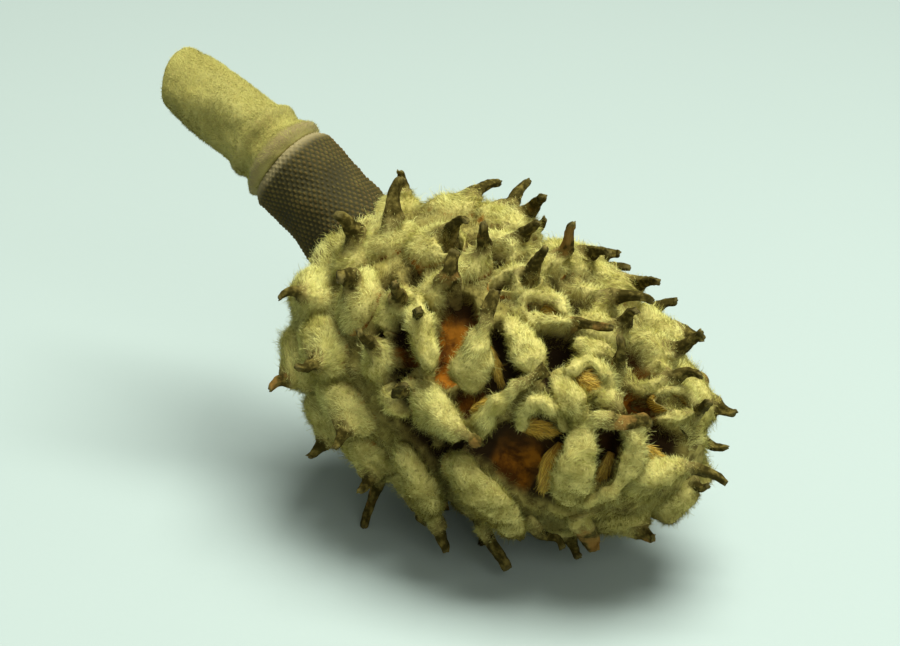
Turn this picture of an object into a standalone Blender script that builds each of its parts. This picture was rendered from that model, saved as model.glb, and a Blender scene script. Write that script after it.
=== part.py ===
"""A dry magnolia seed pod lying on its side: a woolly cone of beaked follicles, some gaping, with its scar
collar and cut stalk. Metres, +Z up, cone axis along +X with the apex dipping to the surface under it."""

import math
import random

import bmesh
import bpy
import numpy as np
from mathutils import Matrix, Vector

# Cone, measured over the wool and without the beaks
CONE_LENGTH = 0.066
CONE_RADIUS = 0.0231
WIDEST_AT = 0.38  # share of the length from the base
BACK_SWELL = 0.484  # half-lengths of the two half ellipses that make the egg, as shares of the length
FRONT_SWELL = 0.62
CORE_SHARE = 0.66  # radius of the woody axis under the follicles, as a share of the cone's
CONE_DIP = math.radians(8.5)  # how far the apex points down

# The photograph's view of the cone: pixels of its 900 x 646 frame, and where the camera stood
PHOTO_MIDDLE = (450, 323)
PHOTO_FOCAL = 2117
CONE_PIXEL = (686, 328)
VIEW_DISTANCE = 0.442
VIEW_TURN = math.radians(38.0)
VIEW_HEIGHT = math.radians(27.0)

# Follicles that the photograph shows: middle and beak tip in its pixels, read by eye, and how far each gapes
SEEN_FOLLICLES = (
    ((590, 222), (602, 180), 0.0),
    ((567, 236), (560, 207), 0.0),
    ((629, 225), (654, 211), 0.0),
    ((658, 240), (665, 216), 0.0),
    ((645, 196), (680, 186), 0.0),
    ((678, 197), (697, 182), 0.0),
    ((686, 208), (711, 196), 0.0),
    ((682, 227), (709, 212), 0.0),
    ((716, 240), (731, 216), 0.0),
    ((690, 254), (715, 232), 0.0),
    ((732, 236), (761, 234), 0.0),
    ((631, 262), (646, 235), 0.0),
    ((568, 270), (558, 253), 0.0),
    ((748, 268), (794, 269), 0.0),
    ((766, 255), (794, 261), 0.0),
    ((757, 291), (780, 275), 0.0),
    ((711, 280), (762, 296), 0.35),
    ((797, 304), (831, 297), 0.0),
    ((797, 325), (829, 323), 0.0),
    ((746, 327), (769, 300), 0.9),
    ((660, 312), (673, 266), 0.0),
    ((683, 332), (712, 322), 1.2),
    ((633, 358), (662, 377), 0.0),
    ((798, 396), (847, 405), 0.3),
    ((756, 396), (788, 364), 1.1),
    ((706, 386), (722, 366), 1.1),
    ((617, 408), (639, 457), 0.0),
    ((665, 440), (684, 470), 0.0),
    ((694, 434), (725, 455), 0.0),
    ((738, 432), (750, 457), 0.0),
    ((668, 412), (691, 442), 0.0),
    ((808, 348), (834, 344), 0.5),
    ((598, 277), (602, 262), 0.0),
    ((614, 292), (618, 275), 0.0),
    ((586, 314), (573, 297), 0.0),
    ((735, 350), (744, 342), 0.0),
    ((600, 345), (606, 330), 0.0),
    ((620, 325), (630, 322), 0.0),
)

# The other follicles follow a spiral from the base to the apex
SPIRAL_TURNS = 80
GOLDEN_ANGLE = math.radians(137.508)
SPIRAL_START = math.radians(20.0)
SPACING = 0.0100
LEAST_SPACING = 0.0078
EASING_ROUNDS = 14
SEED = 11
GAPE_SHARE = 0.24

HALF_LENGTH = 0.0060
HALF_WIDTH = 0.0045
LENS_POWER = 1.25  # over 1 points the two ends of a follicle's outline
ROOT_SINK = 0.0025
CLOSED_SIDES = 6
OPEN_SIDES = 8

# Beaks, the dried styles
BEAK_LENGTH = 0.0080
BEAK_FOOT_RADIUS = 0.0015
BEAK_RADIUS = 0.0010
BEAK_TIP_RADIUS = 0.00075
BEAK_SIDES = 5
STUB_SHARE = 0.38  # length of the broken beaks between the seen ones and at the apex
APEX_SHARE = 0.70
HIDDEN_SHARE = 0.33  # what the photograph hides below the base end

# Lips and seed cavity of a gaping follicle
LIP_THICKNESS = 0.0011
CAVITY_DEPTH = 0.0052

# Scar collar, where tepals and stamens fell off, and stalk
COLLAR_LENGTH = 0.016
COLLAR_RADIUS = 0.0086
SCAR_HEIGHT = 0.0004
SCAR_COLUMNS = 18
SCAR_ROWS = 14
STALK_LENGTH = 0.0228
STALK_RADIUS = 0.0057
STALK_SIDES = 20
STALK_RINGS = 13
NODE_SWELL = 0.0016  # rings of tepal scars next to the collar
COLLAR_SINK = 0.0045  # how deep the collar sits in the cone's base
STEM_RISE = 0.0092  # the stem leaves the cone's base this far above the cone's axis
STEM_SIDE = 0.0022  # and this far to its side
STEM_TILT = math.radians(31.0)  # and turned up by this much
STEM_BEND = math.radians(-24.0)  # and over the length of collar and stalk it turns up by this much more
CUT_SLANT = 0.3  # slope of the stalk's cut end
PIECE_GAP = 0.0003

# The pod lies on the beaks under it, which reach the surface and are flattened on it
REST_DEPTH = 0.0272  # from the middle of the cone's axis down to the surface
FOOT_PRESS = 0.0006
FOOT_STRETCH = 1.3


def clear_scene():
    for obj in list(bpy.data.objects):
        bpy.data.objects.remove(obj)


def material(name, colour, roughness):
    made = bpy.data.materials.new(name)
    made.use_nodes = True
    shader = made.node_tree.nodes["Principled BSDF"]
    shader.inputs["Base Color"].default_value = (*colour, 1.0)
    shader.inputs["Roughness"].default_value = roughness
    shader.inputs["Metallic"].default_value = 0.0
    made.diffuse_color = (*colour, 1.0)
    return made


def loft(name, rings):
    """A closed body through rings of equal counts, with a fan on each end."""
    sides = len(rings[0])
    points = [point for ring in rings for point in ring]
    faces = []
    for k in range(len(rings) - 1):
        for i in range(sides):
            a, b = k * sides + i, k * sides + (i + 1) % sides
            faces.append((a, b, b + sides, a + sides))
    for ring, flip in ((0, True), (len(rings) - 1, False)):
        centre = len(points)
        points.append(sum(rings[ring], Vector()) / sides)
        for i in range(sides):
            a, b = ring * sides + i, ring * sides + (i + 1) % sides
            faces.append((b, a, centre) if flip else (a, b, centre))
    mesh = bpy.data.meshes.new(name)
    mesh.from_pydata([tuple(point) for point in points], [], faces)
    work = bmesh.new()
    work.from_mesh(mesh)
    bmesh.ops.triangulate(work, faces=work.faces)
    bmesh.ops.recalc_face_normals(work, faces=work.faces)
    work.to_mesh(mesh)
    work.free()
    obj = bpy.data.objects.new(name, mesh)
    bpy.context.scene.collection.objects.link(obj)
    return obj


def envelope(share):
    """Radius over the wool at this share of the cone's length."""
    swell = BACK_SWELL if share < WIDEST_AT else FRONT_SWELL
    return CONE_RADIUS * math.sqrt(max(0.0, 1 - ((share - WIDEST_AT) / swell) ** 2))


def surface_frame(share, angle):
    """Point on the envelope there, with its normal and its directions to the apex and around."""
    step = 0.01
    slope = (envelope(min(share + step, 0.999)) - envelope(share - step)) / (2 * step * CONE_LENGTH)
    radial = Vector((0, math.cos(angle), math.sin(angle)))
    point = Vector((share * CONE_LENGTH, 0, 0)) + radial * envelope(share)
    normal = (radial - Vector((slope, 0, 0))).normalized()
    along = (Vector((1, 0, 0)) + radial * slope).normalized()
    return point, normal, along, along.cross(normal)


def photo_sight(pixel):
    """The camera's place and the direction of its sight through a pixel, in the cone's own axes."""
    right = Vector((math.cos(VIEW_TURN), math.sin(VIEW_TURN), 0))
    level = Vector((-math.sin(VIEW_TURN), math.cos(VIEW_TURN), 0))
    up = Vector((0, 0, 1))
    ahead = level * math.cos(VIEW_HEIGHT) - up * math.sin(VIEW_HEIGHT)
    down = -(up * math.cos(VIEW_HEIGHT) + level * math.sin(VIEW_HEIGHT))

    def sight(spot):
        x, y = spot[0] - PHOTO_MIDDLE[0], spot[1] - PHOTO_MIDDLE[1]
        return right * x / PHOTO_FOCAL + down * y / PHOTO_FOCAL + ahead

    unlay = Matrix.Rotation(-CONE_DIP, 3, "Y")
    eye = Vector((CONE_LENGTH / 2, 0, 0)) - unlay @ sight(CONE_PIXEL) * VIEW_DISTANCE
    return eye, (unlay @ sight(pixel)).normalized()


def seen_place(pixel):
    """Share and angle of the envelope's point that the photograph shows at a pixel, or the nearest one."""
    eye, sight = photo_sight(pixel)
    nearest, best = math.inf, (0.5, 0.0)
    for step in range(400):
        point = eye + sight * (VIEW_DISTANCE - 0.05 + 0.10 * step / 400)
        share = min(max(point.x / CONE_LENGTH, 0.01), 0.985)
        outside = math.hypot(point.y, point.z) - envelope(share) + abs(point.x - share * CONE_LENGTH)
        if outside < nearest:
            nearest, best = outside, (share, math.atan2(point.z, point.y))
        if outside < 0:
            break
    return best


def spiral_places():
    """Share and angle of each place of the spiral, evenly spread over the envelope."""
    steps = np.linspace(0.015, 0.985, 600)
    room = np.array([envelope(share) for share in steps])
    filled = np.cumsum(room) / room.sum()
    places = []
    for index in range(SPIRAL_TURNS):
        share = np.interp((index + 0.5) / SPIRAL_TURNS, filled, steps)
        places.append((float(share), SPIRAL_START + GOLDEN_ANGLE * index))
    return places


def follicle_places():
    """The seen places, then the spiral's others, eased apart. Also says how near each one's neighbour is."""
    places = [seen_place(middle) for middle, tip, gape in SEEN_FOLLICLES]
    fixed = [surface_frame(*place)[0] for place in places]
    for place in spiral_places():
        point = surface_frame(*place)[0]
        if min((point - other).length for other in fixed) > LEAST_SPACING:
            places.append(place)
    for _ in range(EASING_ROUNDS):
        points = [surface_frame(*place)[0] for place in places]
        for i in range(len(fixed), len(places)):
            point, normal, along, around = surface_frame(*places[i])
            push = Vector()
            for j, other in enumerate(points):
                away = point - other
                if j != i and away.length < SPACING * 1.15:
                    push += away.normalized() * (SPACING * 1.15 - away.length) * 0.35
            share = places[i][0] + push.dot(along) * along.x / CONE_LENGTH
            share = min(max(share, 0.03), 0.975)
            angle = places[i][1] + push.dot(around) / max(envelope(share), 0.004)
            places[i] = (share, angle)
    points = [surface_frame(*place)[0] for place in places]
    rooms = []
    for i, point in enumerate(points):
        distances = sorted((point - other).length for j, other in enumerate(points) if j != i)
        rooms.append(sum(distances[:3]) / 3)
    return places, rooms


def beak_tip(foot, normal, pixel, length):
    """Where the beak from this foot ends so that the photograph shows its tip at this pixel."""
    eye, sight = photo_sight(pixel)
    nearest = eye + sight * (foot - eye).dot(sight)
    reach = math.sqrt(max(0.0, length**2 - (nearest - foot).length ** 2))
    ends = (nearest + sight * reach, nearest - sight * reach)
    return max(ends, key=lambda end: (end - foot).dot(normal))


def reach_to_surface(foot, heading):
    """How long a beak is that just presses on the surface under the pod."""
    down = Vector((math.sin(CONE_DIP), 0, -math.cos(CONE_DIP)))
    left = REST_DEPTH + FOOT_PRESS - (foot - Vector((CONE_LENGTH / 2, 0, 0))).dot(down)
    return left / max(heading.dot(down), 0.01)


def follicle_specs():
    """Place, size and form of each follicle, in the cone's own axes."""
    draw = random.Random(SEED)
    specs = []
    places, rooms = follicle_places()
    for index, (share, angle) in enumerate(places):
        point, normal, along, around = surface_frame(share, angle)
        size = min(max(rooms[index] / SPACING, 0.6), 1.08)
        length = BEAK_LENGTH * size * draw.uniform(0.75, 1.15)
        facing = normal.dot((photo_sight(CONE_PIXEL)[0] - point).normalized())
        twist = draw.uniform(-0.3, 0.3)
        lean = np.interp(share, (0, 0.15, 0.4, 0.8, 1), np.radians((0, 22, 46, 50, 40)))
        lean += draw.uniform(-0.2, 0.2)
        sway = draw.uniform(-0.35, 0.35)
        gape = draw.uniform(0.6, 1.1) if draw.random() < GAPE_SHARE and share > 0.2 else 0.0
        if index < len(SEEN_FOLLICLES):
            middle, tip_pixel, gape = SEEN_FOLLICLES[index]
            pointed = photo_sight(tip_pixel)[1] - photo_sight(middle)[1]
            pointed = (pointed - normal * pointed.dot(normal)).normalized()
            along = (pointed * 1.4 + along * 0.9).normalized()
        else:
            along = (along * math.cos(twist) + around * math.sin(twist)).normalized()
        across = normal.cross(along)
        half_length = HALF_LENGTH * size
        ahead, above = (0.85, 0.0) if gape else (0.5, 0.22)
        foot = point + (along * ahead + normal * above) * half_length
        if index < len(SEEN_FOLLICLES):
            tip = beak_tip(foot, normal, tip_pixel, length)
        else:
            under = normal.z < -0.45 and share < APEX_SHARE and (facing < 0 or share < HIDDEN_SHARE)
            if under:
                lean, sway = lean * 0.55, sway * 0.5
            elif facing > -0.5 or share > APEX_SHARE:
                length *= STUB_SHARE
            heading = (normal * math.cos(lean) + along * math.sin(lean) + across * sway).normalized()
            reach = reach_to_surface(foot, heading)
            if under:
                length *= FOOT_STRETCH if reach < length * FOOT_STRETCH else STUB_SHARE
            tip = foot + heading * min(length, reach)
        rise = (tip - foot).dot(normal) / (tip - foot).length
        if rise < 0.25:
            tip += normal * (0.25 - rise) * (tip - foot).length
        specs.append(
            {
                "point": point,
                "normal": normal,
                "along": along,
                "across": across,
                "depth": envelope(share) * (1 - CORE_SHARE) + ROOT_SINK,
                "half_length": half_length,
                "half_width": HALF_WIDTH * size * draw.uniform(0.9, 1.1),
                "foot": foot,
                "tip": tip,
                "gape": gape,
            }
        )
    return specs


def lens_ring(centre, along, across, half_length, half_width, sides):
    """A follicle's outline: an oval with its ends a little pointed."""
    points = []
    for i in range(sides):
        turn = 2 * math.pi * i / sides
        side = math.copysign(abs(math.sin(turn)) ** LENS_POWER, math.sin(turn))
        points.append(centre + along * half_length * math.cos(turn) + across * half_width * side)
    return points


def round_ring(centre, along, across, radius, sides):
    turns = [2 * math.pi * i / sides for i in range(sides)]
    return [centre + (along * math.cos(turn) + across * math.sin(turn)) * radius for turn in turns]


def beak_rings(spec, sides, shares):
    """Rings along the beak's curve, which leaves its foot steeply and bends over to its tip."""
    foot, tip = spec["foot"], spec["tip"]
    chord = tip - foot
    bend = foot + (spec["normal"] * chord.length * 0.5 + chord) * 0.4
    rings = []
    for share in shares:
        centre = foot * (1 - share) ** 2 + bend * 2 * share * (1 - share) + tip * share**2
        heading = ((bend - foot) * (1 - share) + (tip - bend) * share).normalized()
        turn = spec["normal"].rotation_difference(heading)
        radius = float(np.interp(share, (0, 0.4, 1), (BEAK_FOOT_RADIUS, BEAK_RADIUS, BEAK_TIP_RADIUS)))
        rings.append(round_ring(centre, turn @ spec["along"], turn @ spec["across"], radius, sides))
    return rings


def root_ring(spec, sides):
    root = spec["point"] - (spec["normal"] + spec["along"] * 0.15) * spec["depth"]
    size = spec["half_length"] * 0.5, spec["half_width"] * 0.5
    return lens_ring(root, spec["along"], spec["across"], *size, sides)


def belly_ring(spec, sides, width=1.0):
    belly = spec["point"] - spec["normal"] * spec["half_length"] * 0.42
    size = spec["half_length"], spec["half_width"] * width
    return lens_ring(belly, spec["along"], spec["across"], *size, sides)


def closed_follicle(name, spec):
    """A mound that rises from the core and narrows into its beak."""
    shoulder = spec["point"] + spec["along"] * spec["half_length"] * 0.08
    size = spec["half_length"] * 0.72, spec["half_width"] * 0.70
    rings = [
        root_ring(spec, CLOSED_SIDES),
        belly_ring(spec, CLOSED_SIDES),
        lens_ring(shoulder, spec["along"], spec["across"], *size, CLOSED_SIDES),
    ]
    return loft(name, rings + beak_rings(spec, CLOSED_SIDES, (0, 0.5, 1)))


def open_follicle(name, spec):
    """A gaping follicle: a boat-shaped wall whose lip turns over into the seed cavity, and its beak."""
    point, normal, along, across = (spec[key] for key in ("point", "normal", "along", "across"))
    spread = 0.9 + 0.25 * spec["gape"]
    length, width = spec["half_length"] * 0.92, spec["half_width"] * 0.95 * spread
    lip = lens_ring(point, along, across, length, width, OPEN_SIDES)
    inner = lens_ring(point, along, across, length - LIP_THICKNESS, width - LIP_THICKNESS, OPEN_SIDES)
    for i in range(OPEN_SIDES):
        turn = 2 * math.pi * i / OPEN_SIDES
        lift = normal * spec["half_width"] * (0.32 * abs(math.sin(turn)) + 0.25 * math.cos(turn))
        lip[i] = lip[i] + lift
        inner[i] = inner[i] + lift - normal * LIP_THICKNESS * 0.3
    floor = point - normal * CAVITY_DEPTH * spec["half_length"] / HALF_LENGTH
    rings = [
        root_ring(spec, OPEN_SIDES),
        belly_ring(spec, OPEN_SIDES, spread),
        lip,
        inner,
        lens_ring(floor, along, across, length * 0.5, width * 0.36, OPEN_SIDES),
    ]
    return [loft(name, rings), loft(name + "_beak", beak_rings(spec, BEAK_SIDES, (-0.2, 0.25, 0.6, 1)))]


def core():
    """The woody axis that the follicles grow from."""
    rings = []
    for share in (0, 0.1, 0.22, 0.38, 0.55, 0.7, 0.83, 0.93):
        centre = Vector((share * CONE_LENGTH, 0, 0))
        radius = envelope(share) * CORE_SHARE
        rings.append(round_ring(centre, Vector((0, 1, 0)), Vector((0, 0, 1)), radius, 14))
    return loft("cone", rings)


def joined(base, others, operation="UNION"):
    """base with the others joined to it or cut from it, as one plain mesh. The others are removed."""
    group = bpy.data.collections.new(base.name + "_pieces")
    bpy.context.scene.collection.children.link(group)
    for other in others:
        group.objects.link(other)
    boolean = base.modifiers.new("pieces", "BOOLEAN")
    boolean.operation = operation
    boolean.operand_type = "COLLECTION"
    boolean.collection = group
    boolean.solver = "MANIFOLD"
    graph = bpy.context.evaluated_depsgraph_get()
    whole = bpy.data.meshes.new_from_object(base.evaluated_get(graph))
    base.modifiers.clear()
    base.data = whole
    for other in others:
        bpy.data.objects.remove(other)
    bpy.data.collections.remove(group)
    keep_largest_body(whole)
    return base


def keep_largest_body(mesh):
    """Fills the hollows that joining sealed and drops loose scraps, as only the largest surface stays."""
    work = bmesh.new()
    work.from_mesh(mesh)
    bmesh.ops.triangulate(work, faces=work.faces)
    unseen = set(work.faces)
    surfaces = []
    while unseen:
        surface, front = [], [unseen.pop()]
        while front:
            face = front.pop()
            surface.append(face)
            for edge in face.edges:
                for near in edge.link_faces:
                    if near in unseen:
                        unseen.remove(near)
                        front.append(near)
        surfaces.append(surface)
    largest = max(surfaces, key=len)
    spare = [face for surface in surfaces if surface is not largest for face in surface]
    bmesh.ops.delete(work, geom=spare, context="FACES")
    work.to_mesh(mesh)
    work.free()


def stem_frame(distance):
    """Centre, heading, up and side of the stem's bent line, this far back from the cone's base."""
    bend_radius = (COLLAR_LENGTH + STALK_LENGTH) / STEM_BEND
    angle = STEM_TILT + distance / bend_radius
    back = bend_radius * (math.sin(angle) - math.sin(STEM_TILT))
    rise = bend_radius * (math.cos(STEM_TILT) - math.cos(angle))
    heading = Vector((-math.cos(angle), 0, math.sin(angle)))
    up = Vector((math.sin(angle), 0, math.cos(angle)))
    return Vector((-back, STEM_SIDE, STEM_RISE + rise)), heading, up, Vector((0, 1, 0))


def collar():
    """The scar collar, whose net of scars is a surface of high and low points by turns."""
    sides = 2 * SCAR_COLUMNS
    rings = []
    for row in range(SCAR_ROWS + 1):
        share = row / SCAR_ROWS
        centre, heading, up, side = stem_frame((COLLAR_LENGTH + COLLAR_SINK) * share - COLLAR_SINK)
        radius = COLLAR_RADIUS * (1.0 - 0.08 * math.sin(math.pi * share) - 0.10 * share)
        points = []
        for i in range(sides):
            turn = 2 * math.pi * i / sides
            raised = SCAR_HEIGHT * (1 if (i + row) % 2 else -1) * (0 < row < SCAR_ROWS)
            points.append(centre + (side * math.cos(turn) + up * math.sin(turn)) * (radius + raised))
        rings.append(points)
    return loft("scar_collar", rings)


def collar_room():
    """The room behind the cone that the wool leaves for the collar."""
    rings = []
    for distance in (-COLLAR_SINK - PIECE_GAP, 0.002, 0.008, 0.014):
        centre, heading, up, side = stem_frame(distance)
        rings.append(round_ring(centre, side, up, COLLAR_RADIUS + 2 * PIECE_GAP, 24))
    return loft("collar_room", rings)


def stalk():
    """The stalk, swollen at its rings of tepal scars and cut slanting across at its end."""
    start = COLLAR_LENGTH + PIECE_GAP
    rings = []
    for k in range(STALK_RINGS):
        share = k / (STALK_RINGS - 1)
        centre, heading, up, side = stem_frame(start + STALK_LENGTH * share)
        first = math.exp(-(((share - 0.06) / 0.06) ** 2))
        second = 0.55 * math.exp(-(((share - 0.26) / 0.05) ** 2))
        radius = STALK_RADIUS * (1.04 - 0.08 * share) + NODE_SWELL * (first + second)
        points = []
        for i in range(STALK_SIDES):
            turn = 2 * math.pi * i / STALK_SIDES
            out = side * math.cos(turn) + up * math.sin(turn)
            bumps = 1 + 0.03 * math.sin(3 * turn + 5 * share) + 0.02 * math.sin(5 * turn - 9 * share)
            slant = heading * CUT_SLANT * radius * math.sin(turn) * share**6
            points.append(centre + out * radius * bumps + slant)
        rings.append(points)
    return loft("stalk", rings)


def lay_down(objects):
    """Tips the apex down, flattens the beaks that the pod lies on and sets the origin under its middle."""
    tip = Matrix.Rotation(CONE_DIP, 4, "Y")
    for obj in objects:
        obj.data.transform(tip)
    corners = [vertex.co for obj in objects for vertex in obj.data.vertices]
    low = Vector(min(c[k] for c in corners) for k in range(3))
    high = Vector(max(c[k] for c in corners) for k in range(3))
    floor = (tip @ Vector((CONE_LENGTH / 2, 0, 0))).z - REST_DEPTH
    bpy.ops.mesh.primitive_cube_add(size=0.3, location=(0, 0, floor - 0.15))
    joined(objects[0], [bpy.context.object], "DIFFERENCE")
    shift = Matrix.Translation((-(low.x + high.x) / 2, -(low.y + high.y) / 2, -floor))
    for obj in objects:
        obj.data.transform(shift)


def main():
    clear_scene()
    wool = material("wool", (0.52, 0.47, 0.27), 0.95)
    bark = material("scar_bark", (0.13, 0.09, 0.05), 0.85)
    felt = material("stalk_felt", (0.60, 0.52, 0.28), 0.9)
    grown = []
    for index, spec in enumerate(follicle_specs()):
        name = f"follicle_{index:02d}"
        grown += open_follicle(name, spec) if spec["gape"] else [closed_follicle(name, spec)]
    cone = joined(core(), grown)
    joined(cone, [collar_room()], "DIFFERENCE")
    pieces = {cone: wool, collar(): bark, stalk(): felt}
    lay_down(list(pieces))
    for obj, finish in pieces.items():
        obj.data.materials.clear()
        obj.data.materials.append(finish)


main()
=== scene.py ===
"""A dry magnolia seed pod: woolly follicles with dried beaks, empty seed cavities, a scar collar and a stalk.
Metres. The first half repeats the rules that place the follicles on the cone."""

import itertools
import math
import random

import bpy
import numpy as np
from mathutils import Matrix, Vector


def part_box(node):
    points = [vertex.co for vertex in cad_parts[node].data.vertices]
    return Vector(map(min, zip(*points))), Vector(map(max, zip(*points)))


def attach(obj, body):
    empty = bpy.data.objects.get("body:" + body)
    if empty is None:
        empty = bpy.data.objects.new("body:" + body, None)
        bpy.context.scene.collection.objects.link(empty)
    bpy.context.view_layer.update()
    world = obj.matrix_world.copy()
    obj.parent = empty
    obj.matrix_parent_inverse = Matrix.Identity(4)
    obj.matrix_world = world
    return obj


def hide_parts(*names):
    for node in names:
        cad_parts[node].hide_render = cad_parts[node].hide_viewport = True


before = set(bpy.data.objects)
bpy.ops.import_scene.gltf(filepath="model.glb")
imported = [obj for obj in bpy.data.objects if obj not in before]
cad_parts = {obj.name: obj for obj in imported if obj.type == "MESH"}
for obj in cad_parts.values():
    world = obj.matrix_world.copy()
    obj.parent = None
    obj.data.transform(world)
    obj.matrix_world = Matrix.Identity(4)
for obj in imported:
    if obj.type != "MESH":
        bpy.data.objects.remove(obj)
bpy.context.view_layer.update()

# Cone
CONE_LENGTH = 0.066
CONE_RADIUS = 0.0231
WIDEST_AT = 0.38
BACK_SWELL = 0.484
FRONT_SWELL = 0.62
CORE_SHARE = 0.66
CONE_DIP = math.radians(8.5)

# The photograph's view of the cone
PHOTO_MIDDLE = (450, 323)
PHOTO_FOCAL = 2117
CONE_PIXEL = (686, 328)
VIEW_DISTANCE = 0.442
VIEW_TURN = math.radians(38.0)
VIEW_HEIGHT = math.radians(27.0)

# The render's view: the pixel at its middle, its width and how much nearer it is
AIM_PIXEL = (641, 288)
RENDER_WIDTH = 900
ZOOM = 1.36

# Follicles that the photograph shows: pixel of the middle and of the beak's tip, and how far each gapes
SEEN_FOLLICLES = (
    (590, 222, 602, 180, 0), (567, 236, 560, 207, 0), (629, 225, 654, 211, 0), (658, 240, 665, 216, 0),
    (645, 196, 680, 186, 0), (678, 197, 697, 182, 0), (686, 208, 711, 196, 0), (682, 227, 709, 212, 0),
    (716, 240, 731, 216, 0), (690, 254, 715, 232, 0), (732, 236, 761, 234, 0), (631, 262, 646, 235, 0),
    (568, 270, 558, 253, 0), (748, 268, 794, 269, 0), (766, 255, 794, 261, 0), (757, 291, 780, 275, 0),
    (711, 280, 762, 296, 0.35), (797, 304, 831, 297, 0), (797, 325, 829, 323, 0), (746, 327, 769, 300, 0.9),
    (660, 312, 673, 266, 0), (683, 332, 712, 322, 1.2), (633, 358, 662, 377, 0), (798, 396, 847, 405, 0.3),
    (756, 396, 788, 364, 1.1), (706, 386, 722, 366, 1.1), (617, 408, 639, 457, 0), (665, 440, 684, 470, 0),
    (694, 434, 725, 455, 0), (738, 432, 750, 457, 0), (668, 412, 691, 442, 0), (808, 348, 834, 344, 0.5),
    (598, 277, 602, 262, 0), (614, 292, 618, 275, 0), (586, 314, 573, 297, 0), (735, 350, 744, 342, 0),
    (600, 345, 606, 330, 0), (620, 325, 630, 322, 0),
)

# Placing of the follicles
SPIRAL_TURNS = 80
GOLDEN_ANGLE = math.radians(137.508)
GOLDEN_SHARE = 0.618034
SPIRAL_START = math.radians(20.0)
SPACING = 0.0100
LEAST_SPACING = 0.0078
EASING_REACH = 1.15
EASING_ROUNDS = 14
SEED = 11
GAPE_SHARE = 0.24
HALF_LENGTH = 0.0060
HALF_WIDTH = 0.0045
LENS_POWER = 1.25
ROOT_SINK = 0.0025
BEAK_LENGTH = 0.0080
BEAK_SHARES = (-0.2, 0, 0.3, 0.6, 0.93, 1)
BEAK_RADII = (0.0015, 0.0013, 0.00082, 0.00062, 0.00052, 0.00034)
STOUT = (0, 1, 11, 12)  # follicles with stouter beaks than the others
STOUTER = 1.35
STUB_SHARE = 0.38
APEX_SHARE = 0.70
HIDDEN_SHARE = 0.33
CAVITY_DEPTH = 0.0052
REST_DEPTH = 0.0272
FOOT_PRESS = 0.0006
FOOT_STRETCH = 1.3

# Collar and stalk
COLLAR_LENGTH = 0.016
COLLAR_RADIUS = 0.0086
COLLAR_SINK = 0.0045
SCAR_HEIGHT = 0.0004
SCAR_COLUMNS = 18
SCAR_ROWS = 14
NET_COLUMNS = 50  # of the finer net of scars that shows
NET_ROWS = 30
STALK_LENGTH = 0.0228
STALK_RADIUS = 0.0057
STALK_SIDES = 72
STALK_ROWS = 110
NODE_SWELL = 0.0016
STEM_RISE = 0.0092
STEM_SIDE = 0.0022
STEM_TILT = math.radians(31.0)
STEM_BEND = math.radians(-24.0)
CUT_SLANT = 0.3
PIECE_GAP = 0.0003

# Looks
SHELL_SIDES = 22
WALL_SIDES = 36
LOBE_SIDES = 20
GOLDEN_SIDES = 24
CORE_SIDES = 190
CORE_ROWS = 140
DOME_ROWS = 12
WOOL_DEPTH = 0.0003  # how far the skin lies under the wool's outside
LOBE_WOOL = 0.00015  # the same on the lobes
FUZZ_HAIRS = 440000
LONG_HAIRS = 38000
FACES_A_PIECE = 190000
FUZZ_LENGTH = 0.0011
FUZZ_WIDTH = 0.00007
LONG_LENGTH = 0.0017
LONG_WIDTH = 0.00005
SHORT_LOOK = dict(  # how hairs stand, swirl and lie, how far tips gather in tufts, and shares of their tones
    stand=0.5, swirl=1.0, spread=0.35, lie=0.35, gather=0.5, scatter=0.25, shares=(0.55, 0.45), bent=False
)
LONG_LOOK = dict(stand=0.8, spread=0.45, gather=0.35, scatter=0.3, shares=(0.7, 0.3), bent=True)
TUFT_SIZE = 0.0009
FIBRES_A_LINING = 420
FIBRE_LENGTH = 0.0016
FIBRE_WIDTH = 0.00011
DOWN_HAIRS = 30000
DOWN_LENGTH = 0.0005
DOWN_WIDTH = 0.00006
HAIR_FLOOR = 0.00003  # the least height of a hair over the surface below
BLANKET_SHARE = 0.89  # radius of the felted wool between the follicles, as a share of the cone's
GAP_DEPTH = 0.0065  # how deep its gaps are under the cone's outside
SHELL_GAP_DEPTH = 0.0015  # how much deeper the follicles' skins are pressed in there
BASE_DOME = 0.002  # how far its base bulges back
HIDDEN_GAPS = 18  # gaps on the sides that the photograph hides
FLOOR_HALF = 1.6
LAMPS = (("key", (0.10, 0.05, 0.80), 0.50, 12.2), ("fill", (0.75, -0.6, 0.60), 0.6, 3.4))

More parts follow.
